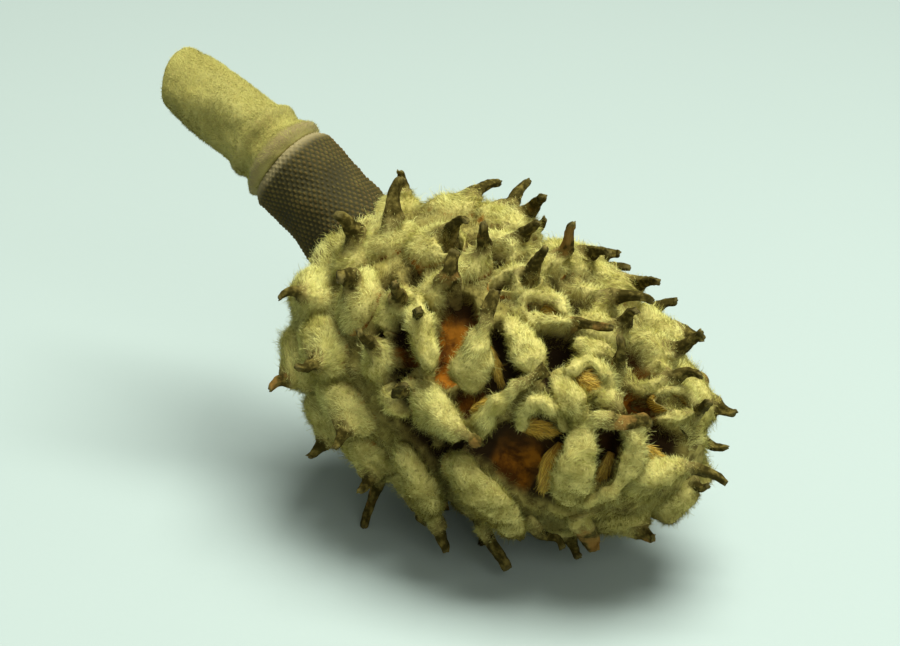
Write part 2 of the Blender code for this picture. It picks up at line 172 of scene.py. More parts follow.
# Gaps between follicles that the photograph shows: pixel of the middle, radius on the cone, and how rusty
SEEN_GAPS = (
    (646, 269, 0.0022, 0.1), (644, 281, 0.0028, 0.7), (642, 294, 0.0029, 1), (640, 307, 0.0029, 1),
    (636, 320, 0.0026, 1), (631, 330, 0.0018, 1), (638, 402, 0.0017, 0), (608, 346, 0.0019, 0),
    (596, 331, 0.0016, 0), (601, 366, 0.0018, 0), (588, 356, 0.0016, 0.2), (624, 396, 0.002, 0),
    (604, 396, 0.0018, 0.2), (634, 436, 0.0018, 0), (606, 424, 0.0019, 0), (616, 438, 0.0016, 0),
    (598, 408, 0.0016, 0), (633, 421, 0.0014, 0), (651, 441, 0.0015, 0), (583, 296, 0.0014, 0),
    (590, 256, 0.0013, 0), (611, 246, 0.0012, 0), (640, 415, 0.0015, 0), (645, 427, 0.0013, 0),
    (703, 277, 0.001, 0), (722, 323, 0.0024, 0), (657, 375, 0.002, 0), (673, 296, 0.0019, 0),
    (676, 310, 0.0023, 0), (664, 336, 0.0036, 0), (678, 328, 0.003, 0), (652, 344, 0.0026, 0.1),
    (649, 358, 0.0028, 1), (719, 311, 0.0034, 0), (729, 304, 0.0022, 0), (713, 301, 0.0018, 0),
    (667, 387, 0.0032, 0), (682, 386, 0.0036, 0), (697, 385, 0.0034, 0.1), (655, 384, 0.0026, 0),
    (684, 400, 0.0036, 0.7), (690, 409, 0.0036, 1), (699, 417, 0.003, 1), (707, 374, 0.0028, 0),
    (720, 374, 0.002, 0), (761, 380, 0.0026, 0.1), (757, 392, 0.0027, 0.1), (751, 404, 0.0025, 0.1),
    (712, 426, 0.0032, 0), (728, 430, 0.0028, 0), (744, 429, 0.0024, 0), (660, 214, 0.0012, 0),
    (644, 212, 0.0012, 0), (700, 224, 0.0013, 0), (729, 262, 0.0014, 0), (782, 350, 0.0024, 1),
    (794, 352, 0.002, 0.6), (801, 375, 0.0024, 0.1), (812, 381, 0.0022, 0), (606, 311, 0.0024, 0.8),
    (603, 296, 0.0024, 0), (598, 213, 0.0015, 0.5), (588, 219, 0.0013, 0), (641, 227, 0.0017, 0),
    (675, 233, 0.0017, 0), (680, 256, 0.0015, 0), (616, 276, 0.0016, 0), (741, 271, 0.0016, 0),
    (767, 286, 0.0015, 0), (784, 311, 0.002, 0.1), (790, 321, 0.0018, 1), (635, 386, 0.002, 0),
    (612, 380, 0.0018, 0), (700, 255, 0.0013, 0), (722, 250, 0.0013, 0),
)

# Lobes of wool and broad beaks that the photograph shows in place of these follicles' plain form. A row is
# a pixel, then in millimetres the height over the cone's outside and half of the width and of the
# thickness, and last the place on the skin's scale, where 1 to 2.6 is woolly and 3 to 5 is beak
REPLACED = (20, 21, 22, 23, 24, 25, 26, 27, 28, 29, 30, 35, 37)
LOBES = (
    # the narrow one beside the rusty gap
    ((653, 333, -2, 2.6, 1.4, 1), (655, 326, -0.4, 3.1, 1.8, 1.3), (659, 316, 0.8, 2.7, 1.8, 1.7),
     (662, 304, 1.6, 2, 1.6, 2), (665, 292, 2.3, 1.5, 1.4, 2.5), (669, 280, 3, 1.1, 1, 3.2),
     (673, 268, 3.6, 0.8, 0.75, 4.3), (674, 264, 3.7, 0.6, 0.55, 5)),
    # the one whose beak points right, on the left of the large hollow
    ((618, 342, -2.5, 2.6, 1.5, 1), (627, 350, -0.2, 3.2, 2, 1.5), (638, 360, 1, 2.6, 1.8, 2),
     (648, 368, 1.8, 1.7, 1.4, 2.5), (656, 373, 2.4, 1.1, 1, 3), (662, 377, 2.7, 0.8, 0.7, 4.4),
     (663, 379, 2.6, 0.5, 0.4, 5)),
    # the curled lip that crosses the middle
    ((658, 372, -1.6, 1.4, 1, 1.1), (661, 366, 0.2, 2.2, 1.4, 1.4), (667, 359, 1, 2, 1.4, 1.8),
     (674, 351, 1.6, 1.5, 1.2, 2), (682, 343, 2, 1.2, 1, 2.3), (690, 336, 2.3, 1.1, 0.9, 2.6),
     (700, 330, 2.6, 1, 0.8, 2.8), (708, 325, 2.9, 1, 0.7, 3.2), (713, 322, 3, 1.1, 0.6, 3.6)),
    # the ridge on the left of the rusty gap
    ((616, 270, -0.5, 1.3, 1.1, 1.6), (617, 281, 1, 1.7, 1.4, 1.9), (620, 295, 1.5, 1.9, 1.6, 2),
     (623, 308, 1.4, 1.8, 1.5, 2), (626, 320, 0.8, 1.4, 1.2, 2), (628, 328, -0.8, 0.9, 0.8, 1.6)),
    # the lump over its end
    ((686, 286, -1.4, 1.6, 1.2, 1.4), (690, 295, 0.2, 2, 1.4, 1.6), (695, 304, 1, 2.2, 1.7, 1.8),
     (700, 313, 1.4, 2.3, 1.8, 1.8), (705, 321, 1.8, 2, 1.6, 2.2), (709, 327, 1.6, 1.4, 1, 2.6),
     (711, 330, 1.2, 0.7, 0.5, 2.8)),
    # the lump below the mouth with golden fibres
    ((721, 325, -1.2, 1.4, 1, 1.2), (724, 333, 1.2, 1.9, 1.5, 1.8), (729, 341, 2, 2.2, 1.8, 2),
     (735, 353, 1.8, 2.2, 1.6, 2), (739, 363, 0.8, 1.6, 1.2, 1.6), (740, 370, -1, 1, 0.8, 1)),
    # the arched lip under it
    ((692, 364, -1, 0.9, 0.8, 1.3), (695, 356, 0.8, 1.3, 1.1, 2), (702, 348, 1.8, 1.4, 1.2, 2),
     (710, 346, 2, 1.4, 1.2, 2), (717, 351, 1.6, 1.3, 1.1, 2), (722, 359, 0.6, 1.1, 1, 1.6),
     (725, 367, -1, 0.9, 0.8, 1.2)),
    # the broad mouth's left lip
    ((743, 358, -0.8, 1.4, 1.1, 1.3), (740, 367, 1.4, 2.2, 1.6, 1.8), (737, 380, 2.4, 2.7, 1.9, 2),
     (734, 393, 2.6, 2.9, 2, 2), (732, 405, 2, 2.8, 1.8, 2), (730, 414, 0.6, 2.2, 1.3, 1.6),
     (727, 420, -1.2, 1.2, 0.8, 1.2)),
    # its right lip and lower rim
    ((771, 361, 0.2, 1.1, 0.9, 1.5), (776, 370, 1.8, 1.6, 1.3, 2), (778, 382, 2.4, 1.8, 1.5, 2),
     (775, 394, 2, 1.8, 1.5, 2), (769, 405, 1.4, 1.5, 1.3, 2), (761, 413, 1, 1.3, 1.1, 1.8),
     (751, 419, 0.6, 1.1, 1, 1.6), (741, 421, 0.2, 1.1, 0.9, 1.5), (731, 419, -0.8, 1, 0.8, 1.2)),
    # the ridge and the reddish beak over it
    ((735, 369, 0.2, 1, 0.9, 1.8), (745, 362, 2.2, 1.5, 1.1, 2.3), (756, 361, 3, 1.4, 1, 2.8),
     (767, 362, 3.3, 1.2, 0.9, 3.2), (778, 361, 3.4, 1.1, 0.8, 3.8), (786, 360, 3.3, 0.9, 0.7, 4.4),
     (790, 364, 3, 0.6, 0.5, 5)),
    # the long one at the lower right
    ((774, 412, -1.4, 1.6, 1.4, 1.2), (785, 406, 1, 2.4, 2, 1.8), (798, 399, 2, 2.3, 1.9, 2),
     (810, 395, 2.2, 1.7, 1.6, 2.4), (820, 395, 2, 1.1, 1, 3), (830, 398, 1.8, 0.8, 0.75, 3.8),
     (840, 402, 1.8, 0.62, 0.6, 4.4), (847, 407, 1.6, 0.5, 0.5, 5)),
    # the broad plate at the lower left
    ((643, 392, -2, 2.2, 1.4, 1), (650, 399, 0.6, 3.4, 2, 1.5), (661, 411, 1.8, 3.9, 2.2, 2),
     (673, 423, 2.2, 3.4, 2, 2), (684, 434, 1.8, 2.3, 1.5, 2.3), (690, 442, 1.2, 1.2, 0.9, 2.9),
     (693, 447, 0.8, 0.6, 0.5, 3.8)),
    # the one that hangs down on its left
    ((604, 380, -1.6, 1.8, 1.3, 1.2), (610, 393, 0.8, 2.5, 1.8, 1.6), (619, 410, 1.6, 2.3, 1.8, 2),
     (627, 428, 1.6, 1.6, 1.4, 2.4), (632, 441, 1.6, 1.1, 1, 3), (636, 450, 1.6, 0.8, 0.75, 4),
     (638, 457, 1.4, 0.5, 0.5, 5)),
    # the beaks at the lower edge
    ((698, 431, -1.4, 1.4, 1, 2), (704, 440, 0.2, 1, 0.8, 3), (713, 446, 0.8, 0.85, 0.7, 3.8),
     (721, 448, 1, 0.75, 0.6, 4.4), (725, 455, 0.6, 0.55, 0.5, 5)),
    ((737, 430, -1.6, 1.7, 1.2, 2), (741, 440, 0.2, 1.6, 0.9, 3.1), (745, 449, 0.8, 1.5, 0.7, 4),
     (748, 457, 1, 1.5, 0.55, 5)),
    ((666, 438, -1.4, 1.5, 1.2, 2), (671, 449, 0.2, 1.1, 0.9, 3.2), (678, 460, 1.2, 0.9, 0.8, 4),
     (684, 470, 1.8, 0.7, 0.65, 5)),
    # the pointed tip beside the mouth, and the lobe above it
    ((753, 338, -0.2, 1.3, 1.1, 1.8), (760, 345, 1.6, 1.3, 1, 2.4), (766, 351, 2, 0.9, 0.8, 3),
     (772, 357, 2.2, 0.4, 0.4, 3.4)),
    ((736, 304, -0.8, 1.3, 1, 1.4), (745, 306, 0.7, 1.6, 1.2, 2), (756, 309, 1.2, 1.6, 1.2, 2),
     (765, 314, 0.4, 1, 0.8, 1.6)),
    # the lip around the golden fibres
    ((727, 333, -0.2, 1, 0.9, 1.7), (731, 324, 1.6, 1.3, 1.1, 2), (740, 317, 2.2, 1.3, 1.1, 2),
     (750, 318, 2.2, 1.3, 1.1, 2), (758, 326, 1.8, 1.3, 1.1, 2), (760, 336, 0.6, 1.1, 0.9, 1.8),
     (756, 344, -0.8, 0.8, 0.7, 1.4)),
)

# Golden linings that show in the hollows, in the same way without the scale
GOLDEN = (
    ((656, 354, 0, 0.3, 0.3), (662, 351, 0.7, 0.7, 0.3), (669, 347, 1, 0.6, 0.3), (678, 342, 0.8, 0.3, 0.2)),
    ((694, 366, -1.8, 0.4, 0.4), (701, 365, -1.2, 1, 0.6), (710, 366, -1.2, 1.1, 0.6),
     (719, 368, -2, 0.4, 0.4)),
    ((724, 377, -2, 0.6, 0.3), (720, 386, -1.1, 1.4, 0.4), (716, 396, -0.7, 1.7, 0.4),
     (712, 406, -1.1, 1.2, 0.4), (709, 412, -2, 0.4, 0.3)),
    ((761, 384, -4.4, 0.5, 0.4), (757, 394, -4, 0.9, 0.5), (753, 403, -4, 0.8, 0.5),
     (749, 410, -4.4, 0.4, 0.3)),
    ((784, 380, -0.8, 0.5, 0.4), (789, 384, -0.2, 1, 0.5), (796, 389, -0.2, 0.9, 0.5),
     (800, 393, -0.9, 0.4, 0.3)),
    ((734, 327, 0, 0.6, 0.4), (740, 329, 1.1, 1.3, 0.8), (748, 332, 1.1, 1.4, 0.8), (754, 336, 0, 0.6, 0.4)),
    ((709, 279, -1.6, 0.3, 0.3), (712, 278, -1, 0.6, 0.4), (717, 279, -1, 0.5, 0.4),
     (720, 280, -1.6, 0.3, 0.3)),
    ((670, 306, -3.2, 0.4, 0.3), (673, 316, -2.8, 0.7, 0.4), (676, 325, -2.9, 0.6, 0.4),
     (678, 332, -3.4, 0.4, 0.3)),
)


def envelope(share):
    """Radius over the wool at this share of the cone's length."""
    swell = BACK_SWELL if share < WIDEST_AT else FRONT_SWELL
    return CONE_RADIUS * math.sqrt(max(0.0, 1 - ((share - WIDEST_AT) / swell) ** 2))


def surface_frame(share, angle):
    """Point on the envelope there, with its normal and its directions to the apex and around."""
    step = 0.01
    slope = (envelope(min(share + step, 0.999)) - envelope(share - step)) / (2 * step * CONE_LENGTH)
    radial = Vector((0, math.cos(angle), math.sin(angle)))
    point = Vector((share * CONE_LENGTH, 0, 0)) + radial * envelope(share)
    normal = (radial - Vector((slope, 0, 0))).normalized()
    along = (Vector((1, 0, 0)) + radial * slope).normalized()
    return point, normal, along, along.cross(normal)


def photo_sight(pixel):
    """The camera's place and the direction of its sight through a pixel, in the cone's own axes."""
    right = Vector((math.cos(VIEW_TURN), math.sin(VIEW_TURN), 0))
    level = Vector((-math.sin(VIEW_TURN), math.cos(VIEW_TURN), 0))
    up = Vector((0, 0, 1))
    ahead = level * math.cos(VIEW_HEIGHT) - up * math.sin(VIEW_HEIGHT)
    down = -(up * math.cos(VIEW_HEIGHT) + level * math.sin(VIEW_HEIGHT))

    def sight(spot):
        x, y = spot[0] - PHOTO_MIDDLE[0], spot[1] - PHOTO_MIDDLE[1]
        return right * x / PHOTO_FOCAL + down * y / PHOTO_FOCAL + ahead

    unlay = Matrix.Rotation(-CONE_DIP, 3, "Y")
    eye = Vector((CONE_LENGTH / 2, 0, 0)) - unlay @ sight(CONE_PIXEL) * VIEW_DISTANCE
    return eye, (unlay @ sight(pixel)).normalized()


def sighted(pixel, height, reach, steps):
    """Where the sight through a pixel comes to this height over the cone's outside, or nearest to it: the
    point, and its share and angle."""
    eye, sight = photo_sight(pixel)
    nearest, best = math.inf, None
    for step in range(steps):
        point = eye + sight * (VIEW_DISTANCE - reach + 2 * reach * step / steps)
        share = min(max(point.x / CONE_LENGTH, 0.01), 0.985)
        outside = math.hypot(point.y, point.z) - envelope(share)
        outside = outside + abs(point.x - share * CONE_LENGTH) - height
        if outside < nearest:
            nearest, best = outside, (point, share, math.atan2(point.z, point.y))
        if outside < 0:
            break
    return best


def seen_place(pixel):
    """Share and angle of the envelope's point that the photograph shows at a pixel, or the nearest one."""
    return sighted(pixel, 0.0, 0.05, 400)[1:]


def seen_point(pixel, height):
    """Where the sight through a pixel comes to this height over the cone's outside, and the normal there."""
    point, share, angle = sighted(pixel, height, 0.04, 500)
    return point, surface_frame(share, angle)[1]


def in_cone(points):
    """Points of the part's frame in the cone's own axes, their way from its widest place, and its swell."""
    own = (points - np.array(SHIFT)) @ np.array(DIP)
    along = own[..., 0] / CONE_LENGTH - WIDEST_AT
    return own, along, np.where(along < 0, BACK_SWELL, FRONT_SWELL)


def depth_under(points):
    """How deep points in the part's frame lie under the cone's outside, about."""
    own, along, swell = in_cone(points)
    far = np.sqrt((along / swell) ** 2 + (own[..., 1] ** 2 + own[..., 2] ** 2) / CONE_RADIUS**2)
    return (1 - far) * CONE_RADIUS


def outward(points):
    """Directions straight out of the cone's outside."""
    own, along, swell = in_cone(points)
    slopes = [along / swell**2 / CONE_LENGTH, own[..., 1] / CONE_RADIUS**2, own[..., 2] / CONE_RADIUS**2]
    return unit(np.stack(slopes, axis=-1)) @ np.array(DIP).T


def spiral_places():
    """Share and angle of each place of the spiral, evenly spread over the envelope."""
    steps = np.linspace(0.015, 0.985, 600)
    room = np.array([envelope(share) for share in steps])
    filled = np.cumsum(room) / room.sum()
    places = []
    for index in range(SPIRAL_TURNS):
        share = np.interp((index + 0.5) / SPIRAL_TURNS, filled, steps)
        places.append((float(share), SPIRAL_START + GOLDEN_ANGLE * index))
    return places


def follicle_places():
    """The seen places, then the spiral's others, eased apart, and how near each one's neighbours are."""
    places = [seen_place(row[:2]) for row in SEEN_FOLLICLES]
    fixed = [surface_frame(*place)[0] for place in places]
    for place in spiral_places():
        point = surface_frame(*place)[0]
        if min((point - other).length for other in fixed) > LEAST_SPACING:
            places.append(place)
    for _ in range(EASING_ROUNDS):
        points = [surface_frame(*place)[0] for place in places]
        for i in range(len(fixed), len(places)):
            point, normal, along, around = surface_frame(*places[i])
            push = Vector()
            for j, other in enumerate(points):
                away = point - other
                if j != i and away.length < SPACING * EASING_REACH:
                    push += away.normalized() * (SPACING * EASING_REACH - away.length) * 0.35
            share = places[i][0] + push.dot(along) * along.x / CONE_LENGTH
            share = min(max(share, 0.03), 0.975)
            places[i] = (share, places[i][1] + push.dot(around) / max(envelope(share), 0.004))
    points = [surface_frame(*place)[0] for place in places]
    rooms = []
    for i, point in enumerate(points):
        distances = sorted((point - other).length for j, other in enumerate(points) if j != i)
        rooms.append(sum(distances[:3]) / 3)
    return places, rooms


def beak_tip(foot, normal, pixel, length):
    """Where the beak from this foot ends so that the photograph shows its tip at this pixel."""
    eye, sight = photo_sight(pixel)
    nearest = eye + sight * (foot - eye).dot(sight)
    reach = math.sqrt(max(0.0, length**2 - (nearest - foot).length ** 2))
    ends = (nearest + sight * reach, nearest - sight * reach)
    return max(ends, key=lambda end: (end - foot).dot(normal))


def reach_to_surface(foot, heading):
    """How long a beak is that just presses on the surface under the pod."""
    down = Vector((math.sin(CONE_DIP), 0, -math.cos(CONE_DIP)))
    left = REST_DEPTH + FOOT_PRESS - (foot - Vector((CONE_LENGTH / 2, 0, 0))).dot(down)
    return left / max(heading.dot(down), 0.01)


def follicle_specs():
    """Place, size and form of each follicle, in the part's frame."""
    draw = random.Random(SEED)
    specs = []
    places, rooms = follicle_places()
    for index, (share, angle) in enumerate(places):
        point, normal, along, around = surface_frame(share, angle)
        size = min(max(rooms[index] / SPACING, 0.6), 1.08)
        length = BEAK_LENGTH * size * draw.uniform(0.75, 1.15)
        facing = normal.dot((photo_sight(CONE_PIXEL)[0] - point).normalized())
        twist = draw.uniform(-0.3, 0.3)
        lean = np.interp(share, (0, 0.15, 0.4, 0.8, 1), np.radians((0, 22, 46, 50, 40)))
        lean += draw.uniform(-0.2, 0.2)
        sway = draw.uniform(-0.35, 0.35)
        gape = draw.uniform(0.6, 1.1) if draw.random() < GAPE_SHARE and share > 0.2 else 0.0
        seen = index < len(SEEN_FOLLICLES)
        if seen:
            middle, tip_pixel, gape = (SEEN_FOLLICLES[index][k] for k in (slice(0, 2), slice(2, 4), 4))
            pointed = photo_sight(tip_pixel)[1] - photo_sight(middle)[1]
            pointed = (pointed - normal * pointed.dot(normal)).normalized()
            along = (pointed * 1.4 + along * 0.9).normalized()
        else:
            along = (along * math.cos(twist) + around * math.sin(twist)).normalized()
        across = normal.cross(along)
        half_length = HALF_LENGTH * size
        ahead, above = (0.85, 0.0) if gape else (0.5, 0.22)
        foot = point + (along * ahead + normal * above) * half_length
        if seen:
            tip = beak_tip(foot, normal, tip_pixel, length)
        else:
            under = normal.z < -0.45 and share < APEX_SHARE and (facing < 0 or share < HIDDEN_SHARE)
            if under:
                lean, sway = lean * 0.55, sway * 0.5
            elif facing > -0.5 or share > APEX_SHARE:
                length *= STUB_SHARE
            heading = (normal * math.cos(lean) + along * math.sin(lean) + across * sway).normalized()
            reach = reach_to_surface(foot, heading)
            if under:
                length *= FOOT_STRETCH if reach < length * FOOT_STRETCH else STUB_SHARE
            tip = foot + heading * min(length, reach)
        rise = (tip - foot).dot(normal) / (tip - foot).length
        if rise < 0.25:
            tip += normal * (0.25 - rise) * (tip - foot).length
        spec = {"index": index, "gape": gape, "half_length": half_length}
        spec["depth"] = envelope(share) * (1 - CORE_SHARE) + ROOT_SINK
        spec["half_width"] = HALF_WIDTH * size * draw.uniform(0.9, 1.1)
        for key, place in (("point", point), ("foot", foot), ("tip", tip)):
            spec[key] = np.array(DIP @ place + SHIFT)
        for key, heading in (("normal", normal), ("along", along), ("across", across)):
            spec[key] = np.array(DIP @ heading)
        specs.append(spec)
    return specs


def stem_frame(distance):
    """Centre, heading, up and side of the stem's bent line, this far back from the cone's base."""
    bend_radius = (COLLAR_LENGTH + STALK_LENGTH) / STEM_BEND
    angle = STEM_TILT + distance / bend_radius
    back = bend_radius * (math.sin(angle) - math.sin(STEM_TILT))
    rise = bend_radius * (math.cos(STEM_TILT) - math.cos(angle))
    heading = Vector((-math.cos(angle), 0, math.sin(angle)))
    up = Vector((math.sin(angle), 0, math.cos(angle)))
    return Vector((-back, STEM_SIDE, STEM_RISE + rise)), heading, up, Vector((0, 1, 0))


def collar_radius(share):
    return COLLAR_RADIUS * (1.0 - 0.08 * math.sin(math.pi * share) - 0.10 * share)


# The cone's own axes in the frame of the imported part: its dip, and where the collar's lowest corner is
DIP = Matrix.Rotation(CONE_DIP, 3, "Y")


def frame_shift():
    """How far the part's frame lies from the cone's own axes once these are dipped."""
    lowest = Vector((1, 1, 1))
    for row in range(SCAR_ROWS + 1):
        share = row / SCAR_ROWS
        centre, heading, up, side = stem_frame((COLLAR_LENGTH + COLLAR_SINK) * share - COLLAR_SINK)
        for i in range(2 * SCAR_COLUMNS):
            turn = math.pi * i / SCAR_COLUMNS
            raised = SCAR_HEIGHT * (1 if (i + row) % 2 else -1) * (0 < row < SCAR_ROWS)
            out = side * math.cos(turn) + up * math.sin(turn)
            spot = DIP @ (centre + out * (collar_radius(share) + raised))
            lowest = Vector(min(lowest[k], spot[k]) for k in range(3))
    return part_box("scar_collar")[0] - lowest


SHIFT = frame_shift()


def laid(grid):
    """Points from the cone's own axes in the part's frame."""
    return grid @ np.array(DIP).T + np.array(SHIFT)


def gap_places():
    """Middles, outward directions, radii and rustiness of the gaps, in the part's frame."""
    gaps = [(*surface_frame(*seen_place(row[:2]))[:2], *row[2:]) for row in SEEN_GAPS]
    draw = random.Random(SEED + 1)
    eye = photo_sight(CONE_PIXEL)[0]
    while len(gaps) < len(SEEN_GAPS) + HIDDEN_GAPS:
        point, normal, along, around = surface_frame(draw.uniform(0.35, 0.95), draw.uniform(0, 2 * math.pi))
        if normal.dot((eye - point).normalized()) < 0.1:
            gaps.append((point, normal, draw.uniform(0.0014, 0.0026), draw.uniform(0, 1)))
    return [(np.array(DIP @ gap[0] + SHIFT), np.array(DIP @ gap[1]), *gap[2:]) for gap in gaps]


GAPS = gap_places()


# Shapes
def lattice(cells, seed):
    """A repeatable number from -1 to 1 for each cell of a lattice, from its hash."""
    x, y, z = (cells[..., k] for k in range(3))
    mixed = x * 374761393 + y * 668265263 + z * 2246822519 + seed * 3266489917
    mixed = (mixed ^ (mixed >> 13)) * 1274126177
    mixed = mixed ^ (mixed >> 16)
    return (mixed & 0xFFFFFF) / 0x7FFFFF - 1.0


def noise(points, size, seed=0):
    """Smooth noise from -1 to 1 whose lumps are this size."""
    scaled = points / size
    cell = np.floor(scaled).astype(np.int64)
    part = scaled - cell
    part = part * part * (3 - 2 * part)
    total = np.zeros(points.shape[:-1])
    for corner in itertools.product((0, 1), repeat=3):
        weight = np.prod(np.where(corner, part, 1 - part), axis=-1)
        total += weight * lattice(cell + np.array(corner), seed)
    return total


def noise_vector(points, size, seed):
    return np.stack([noise(points, size, seed + k) for k in range(3)], axis=-1)


def unit(vectors):
    return vectors / np.maximum(np.linalg.norm(vectors, axis=-1, keepdims=True), 1e-12)


def smooth(low, high, value):
    """0 under low, 1 over high, and smooth between."""
    share = np.clip((value - low) / (high - low), 0, 1)
    return share * share * (3 - 2 * share)


def turns(sides):
    return np.arange(sides) * 2 * np.pi / sides


def oval(centre, along, across, half_length, half_width, sides, power=LENS_POWER):
    turn = turns(sides)
    side = np.sign(np.sin(turn)) * np.abs(np.sin(turn)) ** power
    return centre + np.outer(half_length * np.cos(turn), along) + np.outer(half_width * side, across)


def spline(keys, rises, steps):
    """Rings on a smooth surface through the key rings, and each one's value of rises."""
    keys = np.asarray(keys)
    spans = np.maximum(np.linalg.norm(np.diff(keys, axis=0), axis=2).mean(axis=1), 1e-6)
    slopes = np.diff(keys, axis=0) / spans[:, None, None]
    tangents = np.empty_like(keys)
    tangents[0], tangents[-1] = slopes[0], slopes[-1]
    for k in range(1, len(keys) - 1):
        before, after = spans[k - 1], spans[k]
        tangents[k] = (slopes[k - 1] * after + slopes[k] * before) / (before + after)
    rings, values = [], []
    for k, count in enumerate(steps):
        last = k == len(steps) - 1
        for share in np.linspace(0, 1, count + 1)[: count + 1 if last else count]:
            a, b = 2 * share**3 - 3 * share**2 + 1, -2 * share**3 + 3 * share**2
            c, d = share**3 - 2 * share**2 + share, share**3 - share**2
            rings.append(keys[k] * a + keys[k + 1] * b + (tangents[k] * c + tangents[k + 1] * d) * spans[k])
            values.append(rises[k] * (1 - share) + rises[k + 1] * share)
    return np.array(rings), np.array(values)


def grid_normals(grid):
    around = np.roll(grid, -1, axis=1) - np.roll(grid, 1, axis=1)
    return unit(np.cross(around, np.gradient(grid, axis=0)))


def band(grid, ends=(0, -1), lowest=-1.0, **values):
    """A part from a closed band of rings, with a fan over each end named, kept over a lowest height. A value
    is one number, or one a ring or a point."""
    rows, sides = grid.shape[:2]
    ring = np.arange(sides)
    after, top = (ring + 1) % sides, (rows - 1) * sides
    k = np.arange(rows - 1)[:, None] * sides
    a, b = k + ring, k + after
    points, tris = [grid.reshape(-1, 3)], [np.zeros((0, 3), int)]
    for number, end in enumerate(ends):
        points.append(grid[end].mean(axis=0)[None])
        middle = np.full(sides, rows * sides + number)
        tris.append(np.stack([top + ring, top + after, middle] if end else [after, ring, middle], axis=-1))
    points = np.concatenate(points)
    points[:, 2] = np.maximum(points[:, 2], lowest)
    flat = {}
    for name, value in values.items():
        value = np.asarray(value, float)
        value = np.full(rows, value) if value.ndim == 0 else value
        if value.ndim == 1:
            flat[name] = np.concatenate([np.repeat(value, sides), [value[end] for end in ends]])
        else:
            flat[name] = np.concatenate([value.ravel(), np.zeros(len(ends))])
    quads = np.stack([a, b, b + sides, a + sides], axis=-1).reshape(-1, 4)
    return {"points": points, "quads": quads, "tris": np.concatenate(tris), "values": flat}


def linked(name, data):
    obj = bpy.data.objects.new(name, data)
    bpy.context.scene.collection.objects.link(obj)
    return obj


def piece(name, parts, material, node):
    """One object from parts, each with points, quads, tris and values for the material by name."""
    points = np.concatenate([part["points"] for part in parts])
    firsts = np.cumsum([0] + [len(part["points"]) for part in parts])
    quads = np.concatenate([part["quads"] + first for part, first in zip(parts, firsts)])
    tris = np.concatenate([part["tris"] + first for part, first in zip(parts, firsts)])
    mesh = bpy.data.meshes.new(name)
    mesh.vertices.add(len(points))
    mesh.vertices.foreach_set("co", points.astype(np.float32).ravel())
    loops = np.concatenate([quads.ravel(), tris.ravel()]).astype(np.int32)
    mesh.loops.add(len(loops))
    mesh.loops.foreach_set("vertex_index", loops)
    starts = np.concatenate([np.arange(len(quads)) * 4, len(quads) * 4 + np.arange(len(tris)) * 3])
    mesh.polygons.add(len(starts))
    mesh.polygons.foreach_set("loop_start", starts.astype(np.int32))
    for key in parts[0]["values"]:
        values = np.concatenate([part["values"][key] for part in parts])
        mesh.attributes.new(key, "FLOAT", "POINT").data.foreach_set("value", values.astype(np.float32))
    mesh.update(calc_edges=True)
    mesh.polygons.foreach_set("use_smooth", np.full(len(starts), True))
    if "normals" in parts[0]:
        mesh.normals_split_custom_set_from_vertices(np.concatenate([part["normals"] for part in parts]))
    mesh.materials.append(material)
    obj = linked(name, mesh)
    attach(obj, "root")
    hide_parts(node)
    return obj


def beak_keys(spec, shares):
    """Key rings along the beak's curve, a little flattened, wrinkled and bent."""
    foot, tip, normal = Vector(spec["foot"]), Vector(spec["tip"]), Vector(spec["normal"])
    chord = tip - foot
    bend = foot + (normal * chord.length * 0.5 + chord) * 0.4
    rings = []
    for share in shares:
        centre = foot * (1 - share) ** 2 + bend * 2 * share * (1 - share) + tip * share**2
        heading = ((bend - foot) * (1 - share) + (tip - bend) * share).normalized()
        turn = normal.rotation_difference(heading)
        along, across = np.array(turn @ Vector(spec["along"])), np.array(turn @ Vector(spec["across"]))
        radius = float(np.interp(share, BEAK_SHARES, BEAK_RADII))
        radius *= STOUTER if spec["index"] in STOUT else 1.0
        wave = math.sin(spec["index"] * 2.1 + share * 4.5) * 0.00030 * min(1.0, share * 2)
        hook = max(0.0, share - 0.55) ** 2 * 0.0035
        turned = spec["index"] * 2.4
        middle = np.array(centre) + across * (wave + hook * math.sin(turned))
        middle = middle + along * hook * math.cos(turned)
        rings.append(oval(middle, along, across, radius * 1.1, radius * 0.9, SHELL_SIDES, 1.0))
    return rings


def wrinkled(grid, rises, index):
    """A skin with the beak's dried folds and the wool's lumps, and where its keel is."""
    turn = turns(grid.shape[1])[None, :]
    beak = smooth(2.9, 3.4, rises)[:, None]
    skin = smooth(0.6, 1.3, rises)[:, None] * (1 - beak)
    twist = turn * 4 + rises[:, None] * 1.6 + index * 1.3
    folds = 0.00010 * np.sin(twist) + 0.00006 * np.sin(turn * 7 - rises[:, None] * 2.3 + index)
    folds = folds + 0.00010 * noise(grid, 0.0006, 5)
    lumps = 0.00035 * noise(grid, 0.0030, 1) + 0.00022 * noise(grid, 0.0012, 2)
    lumps = lumps + 0.00010 * noise(grid, 0.0006, 3)
    keel = np.exp(-((np.sin(turn) / 0.28) ** 2)) * (np.cos(turn) < 0) * smooth(1.9, 2.9, rises)[:, None]
    moved = beak * folds + skin * lumps + keel * (1 - beak) * 0.00035
    return grid + grid_normals(grid) * moved[..., None], keel


def skin_part(grid, rises, index, ends=(0, -1), keel=0, deep=0, rust=0):
    """A skin with values for its material, kept over the surface below."""
    tone = (index * GOLDEN_SHARE) % 1.0
    return band(grid, ends, 0.0, rise=rises, keel=keel, tone=tone, deep=deep, rust=rust)


